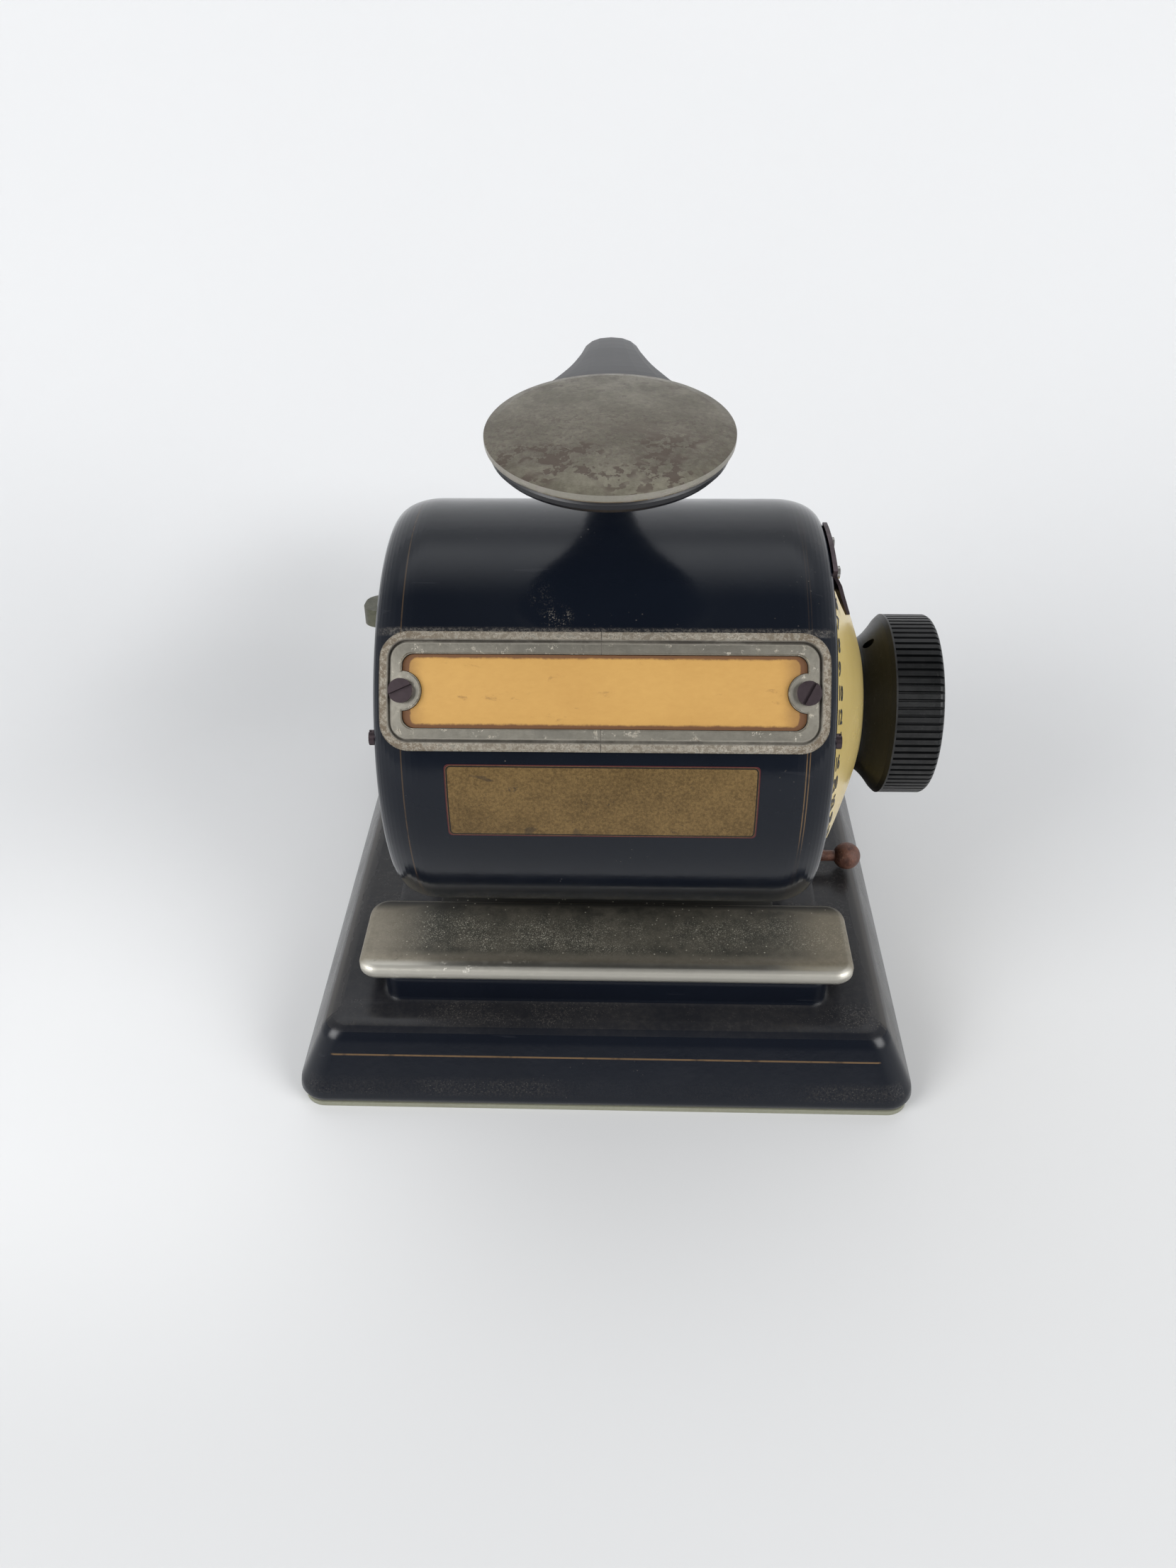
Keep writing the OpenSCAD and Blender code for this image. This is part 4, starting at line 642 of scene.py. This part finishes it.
def celluloid():
    """Cream-yellow celluloid that lets a little light in, with faint handling marks."""
    p = Paint("celluloid")
    cloud = p.ramp(p.noise(34, 4, 0.5), 0.25, 0.75)
    marks = p.ramp(p.noise(260, 6, 0.75, stretch=(1.5, 0.6, 0.6), offset=3.0), 0.60, 0.72)
    shade = p.mix(p.times(marks, 0.3), p.mix(cloud, CREAM_DARK, CREAM_PALE), CREAM_MARK)
    p.set(colour=shade, rough=p.ramp(cloud, 0, 1, 0.22, 0.30))
    p.set(scatter=0.12, scatter_radius=(4 * MM, 3 * MM, 1 * MM), scatter_scale=0.5)
    p.bump(p.noise(300, 3, 0.5), 0.03 * MM, 0.3)
    return p.material


def hard_rubber():
    """Black vulcanite: the knob's crests are rubbed pale, and dust greys it in fine patches."""
    p = Paint("hard_rubber")
    cloud = p.ramp(p.noise(60, 6, 0.7), 0.35, 0.7)
    grit = p.ramp(p.noise(900, 4, 0.8, offset=2.0), 0.60, 0.72)
    off_axis = p.less(p.along(Y), AXIS_Y), p.less(p.along(Z), AXIS_Z)
    radius = p.math("SQRT", p.plus(*(p.times(off, off) for off in off_axis)))
    low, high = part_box("knob")
    knob_r = (high.z - low.z) / 2
    crest = p.ramp(radius, knob_r - 0.10 * MM, knob_r - 0.01 * MM)
    crest = p.times(crest, p.ramp(p.noise(300, 4, 0.7), 0.3, 0.6, 0.4, 1.0), 0.35)
    shade = p.mix(crest, p.mix(cloud, RUBBER_DARK, RUBBER_PALE), RUBBER_CREST)
    shade = p.mix(p.times(grit, 0.22), shade, RUBBER_GRIT)
    p.set(colour=shade, rough=p.blend(cloud, 0.30, 0.44), specular=0.22)
    p.bump(p.noise(420, 4, 0.6, offset=1.0), 0.06 * MM, 0.4)
    return p.material


def lever_paint():
    """Satin black paint, greyed on what faces up by dust and painted sheen, with a few bare chips.
    """
    p = Paint("lever_paint")
    up = p.ramp(p.facing(Z), 0.1, 0.95)
    cloud = p.ramp(p.noise(50, 6, 0.7), 0.35, 0.7)
    # dust and painted sheen: what faces up is mixed towards grey
    shade = p.mix(p.times(up, 0.5), p.mix(cloud, PAINT_DARK, PAINT_PALE), PAINT_DUST_AND_SHEEN)
    chips = p.ramp(p.noise(150, 5, 0.7, offset=6.0), 0.71, 0.73)
    p.set(colour=p.mix(chips, shade, PAINT_CHIP), rough=p.blend(up, 0.26, 0.5), specular=0.3)
    p.bump(p.noise(260, 4, 0.6), 0.08 * MM, 0.4)
    return p.material


def felt():
    """Pale cream-green felt with a fuzzy nap and a few stains."""
    p = Paint("felt")
    nap = p.noise(900, 6, 0.85)
    stain = p.ramp(p.noise(40, 5, 0.7, offset=4.0), 0.5, 0.75)
    shade = p.mix(p.times(stain, 0.4), p.mix(nap, FELT_DARK, FELT_PALE), FELT_STAIN)
    p.set(colour=shade, rough=0.95, sheen=0.3)
    p.bump(nap, 0.3 * MM, 0.8)
    return p.material


def soft_black(name, colour, rough):
    """A dull, dark, finely grained surface."""
    p = Paint(name)
    grain = p.noise(500, 5, 0.75)
    p.set(colour=p.mix(grain, toned(colour, 0.6), toned(colour, 1.6)), rough=rough)
    p.bump(grain, 0.1 * MM, 0.6)
    return p.material


# The material of each slot

def make_materials():
    """The record's material slots and what each is made of."""
    return {
        "lacquer_black": lacquer(
            "lacquer_black", (0.0048, 0.0064, 0.0108), base_line, base_dirt,
            film=0.26, specular=0.29, soft=2 * MM),
        "drum_lacquer": lacquer(
            "drum_lacquer", (0.0046, 0.0064, 0.0108), drum_lines, drum_dirt,
            film=0.0, specular=0.25),
        "table_nickel": nickel(
            "table_nickel", bright=(0.36, 0.325, 0.26), dull=(0.25, 0.225, 0.175),
            brown=(0.09, 0.07, 0.05), rough=(0.46, 0.62), soft=1 * MM,
            grime_and_shade=table_dust, painted_highlight=table_edge),
        "plate_nickel": nickel(
            "plate_nickel", bright=(0.52, 0.49, 0.42), dull=(0.37, 0.345, 0.29),
            brown=(0.086, 0.056, 0.027), rough=(0.35, 0.42),
            stain=plate_rust, grime_and_shade=plate_dirt),
        "tab_nickel": nickel(
            "tab_nickel", bright=(0.145, 0.145, 0.11), dull=(0.085, 0.085, 0.063),
            brown=(0.10, 0.08, 0.05), rough=(0.34, 0.5), scale=1.5),
        "pad_nickel": nickel(
            "pad_nickel", bright=(0.225, 0.208, 0.160), dull=(0.120, 0.110, 0.082),
            brown=(0.058, 0.038, 0.028), rough=(0.33, 0.42), scale=1.4,
            stain=pad_dirt, painted_highlight=pad_edge),
        "plain_steel": plain_metal(
            "plain_steel", colour=(0.42, 0.41, 0.39), rough=0.28, stain=(0.10, 0.07, 0.05)),
        "blued_steel": plain_metal(
            "blued_steel", colour=(0.085, 0.065, 0.072), rough=0.34, stain=(0.05, 0.03, 0.03)),
        "brass": plain_metal(
            "brass", colour=(0.52, 0.39, 0.16), rough=0.26, stain=(0.14, 0.09, 0.03)),
        "type_metal": plain_metal(
            "type_metal", colour=(0.45, 0.44, 0.43), rough=0.35, stain=(0.05, 0.04, 0.06)),
        "rusty_steel": rusty(),
        "card": card_paper(),
        "gold_transfer": gold_transfer(),
        "celluloid": celluloid(),
        "hard_rubber": hard_rubber(),
        "lever_paint": lever_paint(),
        "felt": felt(),
        "strip_rubber": soft_black("strip_rubber", (0.035, 0.033, 0.030), 0.7),
        "ink_felt": soft_black("ink_felt", (0.030, 0.022, 0.045), 0.9),
    }


def dress_nodes(materials):
    """Gives each CAD node the material of its slot in the record."""
    slots = {row["node"]: row["material_slot"] for row in frame["record"]["subparts"]}
    for name, node in frame["nodes"].items():
        for place in node.material_slots:
            place.material = materials[slots[name]]


# Numbers on the dial

NUMBERS = [*range(1, 11), 12, 14, 16, 20, 25, 30, 35, 40, 45, 50, 60, 70, 80, 90]
ROUNDS = 2  # the row of numbers goes round the dial twice
STEP = 360 / (ROUNDS * len(NUMBERS))
TEN_ANGLE = 36.4  # where the first 10 stands, in degrees up from the dial's front
NUMBER_PLACE = 0.02  # along the dial's curve, from its rim at 0 to its neck at 1
FONT_SIZE = 3.2 * MM * 1.42  # for figures that are 3.2 mm high
NARROW = 0.72  # of the font's own width
BOLD = 0.11 * MM  # added to each side of a stroke
HALF_THICK = 0.02 * MM
RAISED = 0.06 * MM
ARC_POINTS = 3
DIAL_PULL = (DRUM_END + 8.0 * MM, 26.6 * MM)  # the curve's middle handle
DIAL_NECK_R = 16.4 * MM


def dial_point(t):
    """A point of the dial's outer curve, from its rim at 0 to its neck at 1, as the place along the
    axis and the radius, and the direction inwards."""
    low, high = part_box("dial")
    rim = (low.x, (high.y - low.y) / 2)
    neck = (high.x, DIAL_NECK_R)
    handles = list(zip(rim, DIAL_PULL, neck))
    point = [(1 - t) ** 2 * a + 2 * t * (1 - t) * b + t * t * c for a, b, c in handles]
    way = [2 * (1 - t) * (b - a) + 2 * t * (c - b) for a, b, c in handles]
    length = math.hypot(*way)
    return point, [part / length for part in way]


def number_mesh(number):
    """A number in Blender's own font, flat and about its left end."""
    text = bpy.data.curves.new("number", "FONT")
    text.body = str(number)
    text.size = FONT_SIZE
    text.align_y = "CENTER"
    text.extrude = HALF_THICK
    text.offset = BOLD
    text.resolution_u = ARC_POINTS
    holder = add_object("number", text)
    bpy.context.view_layer.update()
    mesh = bpy.data.meshes.new_from_object(holder)
    bpy.data.objects.remove(holder)
    bpy.data.curves.remove(text)
    return mesh


def make_numbers(material):
    """Rising numbers round the dial, reading from the rim inwards, joined into one mesh."""
    (along_axis, radius), (way_along, way_out) = dial_point(NUMBER_PLACE)
    combined = bmesh.new()
    for i, number in enumerate(NUMBERS * ROUNDS):
        angle = math.radians(TEN_ANGLE - STEP * (i - NUMBERS.index(10)))
        outward = Vector((0, -math.cos(angle), math.sin(angle)))
        reading = Vector((way_along, 0, 0)) + outward * way_out
        upward = Vector((0, math.sin(angle), math.cos(angle)))
        normal = reading.cross(upward)
        centre = Vector((along_axis, AXIS_Y, AXIS_Z)) + outward * radius
        turn = Matrix((reading * NARROW, upward, normal)).transposed().to_4x4()
        mesh = number_mesh(number)
        mesh.transform(Matrix.Translation(centre + normal * RAISED) @ turn)
        combined.from_mesh(mesh)
        bpy.data.meshes.remove(mesh)
    mesh = bpy.data.meshes.new("dial_numbers")
    combined.to_mesh(mesh)
    combined.free()
    mesh.materials.append(material)
    piece = add_object("dial_numbers", mesh)
    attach(piece, "cylinder")


# The lever's spring


def make_spring(material):
    """A copy of the lever's spring with its own mesh and material, riding on the root in place of
    the CAD spring, which is hidden.
    """
    piece = add_object("toe_spring", frame["nodes"]["lever_spring"].data.copy())
    piece.data.materials.clear()
    piece.data.materials.append(material)
    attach(piece, "root")
    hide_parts("lever_spring")
    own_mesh(piece)


# Stage and light, in metres and watts

FLOOR_HALF_W, FLOOR_NEAR, FLOOR_FAR = 2.2, -2.0, 0.75
FLOOR_DROP = 0.1 * MM  # below the felt, so that the two don't share a face
BACKDROP_TOP, BACKDROP_BEND_R, BEND_STEPS = 0.75, 0.55, 16
# The floor's tones: a painted gradient of light from front to back, a cloud, a painted shadow and a
# painted pool of light
FLOOR_DARK, FLOOR_BRIGHT = (0.60, 0.602, 0.605), (0.87, 0.875, 0.885)
FLOOR_CLOUD, FLOOR_SHADED = (0.74, 0.745, 0.75), (0.52, 0.525, 0.53)
FLOOR_PAINTED_LIGHT = (0.88, 0.882, 0.885)
SKY_LEVEL, SKY_COLOUR = 0.13, (0.96, 0.98, 1.0, 1)
# Each lamp's place and power
LAMPS = {"left": ((-0.95, -0.75, 0.72), 13.5), "right": ((0.95, -0.68, 0.66), 11.5)}
LAMP_AIM = Vector((0, 0.15, 0.05))
LAMP_SIZE = (0.75, 0.7)


def floor_paint():
    """Pale matt paper with painted light: brighter towards the back, with a painted shadow and a
    painted pool of light at the left.
    """
    p = Paint("sweep")
    x, y = p.along(X), p.along(Y)
    # painted light: the paper brightens towards the back
    tone = p.mix(p.ramp(p.along((-0.12, 1, 0)), -0.35, 0.55), FLOOR_DARK, FLOOR_BRIGHT)
    tone = p.mix(p.times(p.noise(3, 3, 0.5), 0.2), tone, FLOOR_CLOUD)
    # painted shadow at the left
    shaded = p.times(p.band(x, -0.12, 0.01, 0.10), p.band(y, 0.17, 0.02, 0.12), 0.55)
    # painted pool of light at the left
    pale = p.times(p.band(x, -0.13, 0.02, 0.12), p.band(y, -0.06, 0.04, 0.08), 0.4)
    tone = p.mix(pale, p.mix(shaded, tone, FLOOR_SHADED), FLOOR_PAINTED_LIGHT)
    p.set(colour=tone, rough=0.8, specular=0.2)
    return p.material


def make_stage():
    """A floor that curves up into a backdrop."""
    profile = [(FLOOR_NEAR, 0.0)]
    for i in range(BEND_STEPS + 1):
        turn = math.pi / 2 * i / BEND_STEPS
        profile.append((FLOOR_FAR - BACKDROP_BEND_R * (1 - math.sin(turn)),
                        BACKDROP_BEND_R * (1 - math.cos(turn))))
    profile.append((FLOOR_FAR, BACKDROP_TOP))
    grid = bmesh.new()
    rows = [[grid.verts.new((x, y, z - FLOOR_DROP)) for x in (-FLOOR_HALF_W, FLOOR_HALF_W)]
            for y, z in profile]
    for near, far in zip(rows, rows[1:]):
        grid.faces.new((near[0], near[1], far[1], far[0]))
    mesh = bpy.data.meshes.new("sweep")
    grid.to_mesh(mesh)
    grid.free()
    for face in mesh.polygons:
        face.use_smooth = True
    mesh.materials.append(floor_paint())
    sweep = add_object("sweep", mesh)


def area_lamp(name, place, power):
    """A large soft lamp that is aimed at the object."""
    data = bpy.data.lights.new(name, "AREA")
    data.shape = "RECTANGLE"
    data.size, data.size_y = LAMP_SIZE
    data.energy = power
    lamp = add_object(name, data)
    lamp.location = place
    lamp.rotation_euler = (LAMP_AIM - Vector(place)).to_track_quat("-Z", "Y").to_euler()


def make_light():
    """A dim sky that is brighter low at both sides and high behind the object, and two lamps."""
    world = bpy.data.worlds.new("world")
    bpy.context.scene.world = world
    world.use_nodes = True
    g = Graph(world.node_tree)
    split = g.node("ShaderNodeSeparateXYZ")
    g.link(g.node("ShaderNodeTexCoord").outputs["Generated"], split.inputs[0])
    x, y, z = split.outputs
    aside = g.times(g.ramp(g.size(x), 0.2, 0.75, 0.0, 0.6, "LINEAR"),
                    g.ramp(z, 0.3, 0.9, 1.0, 0.3, "LINEAR"))
    behind = g.times(g.ramp(y, 0.0, 0.5), g.ramp(z, 0.70, 0.86, 0.7, 1.6))
    back = world.node_tree.nodes["Background"]
    g.link(g.plus(g.most(aside, behind), SKY_LEVEL), back.inputs["Strength"])
    back.inputs["Color"].default_value = SKY_COLOUR
    for name, (place, power) in LAMPS.items():
        area_lamp(name, place, power)


make_camera()
make_stage()
make_light()
bpy.context.scene.view_settings.view_transform = "Standard"
materials = make_materials()
dress_nodes(materials)
make_spring(materials["plain_steel"])
make_numbers(soft_black("number_ink", NUMBER_INK, 0.5))

bpy.context.view_layer.update()
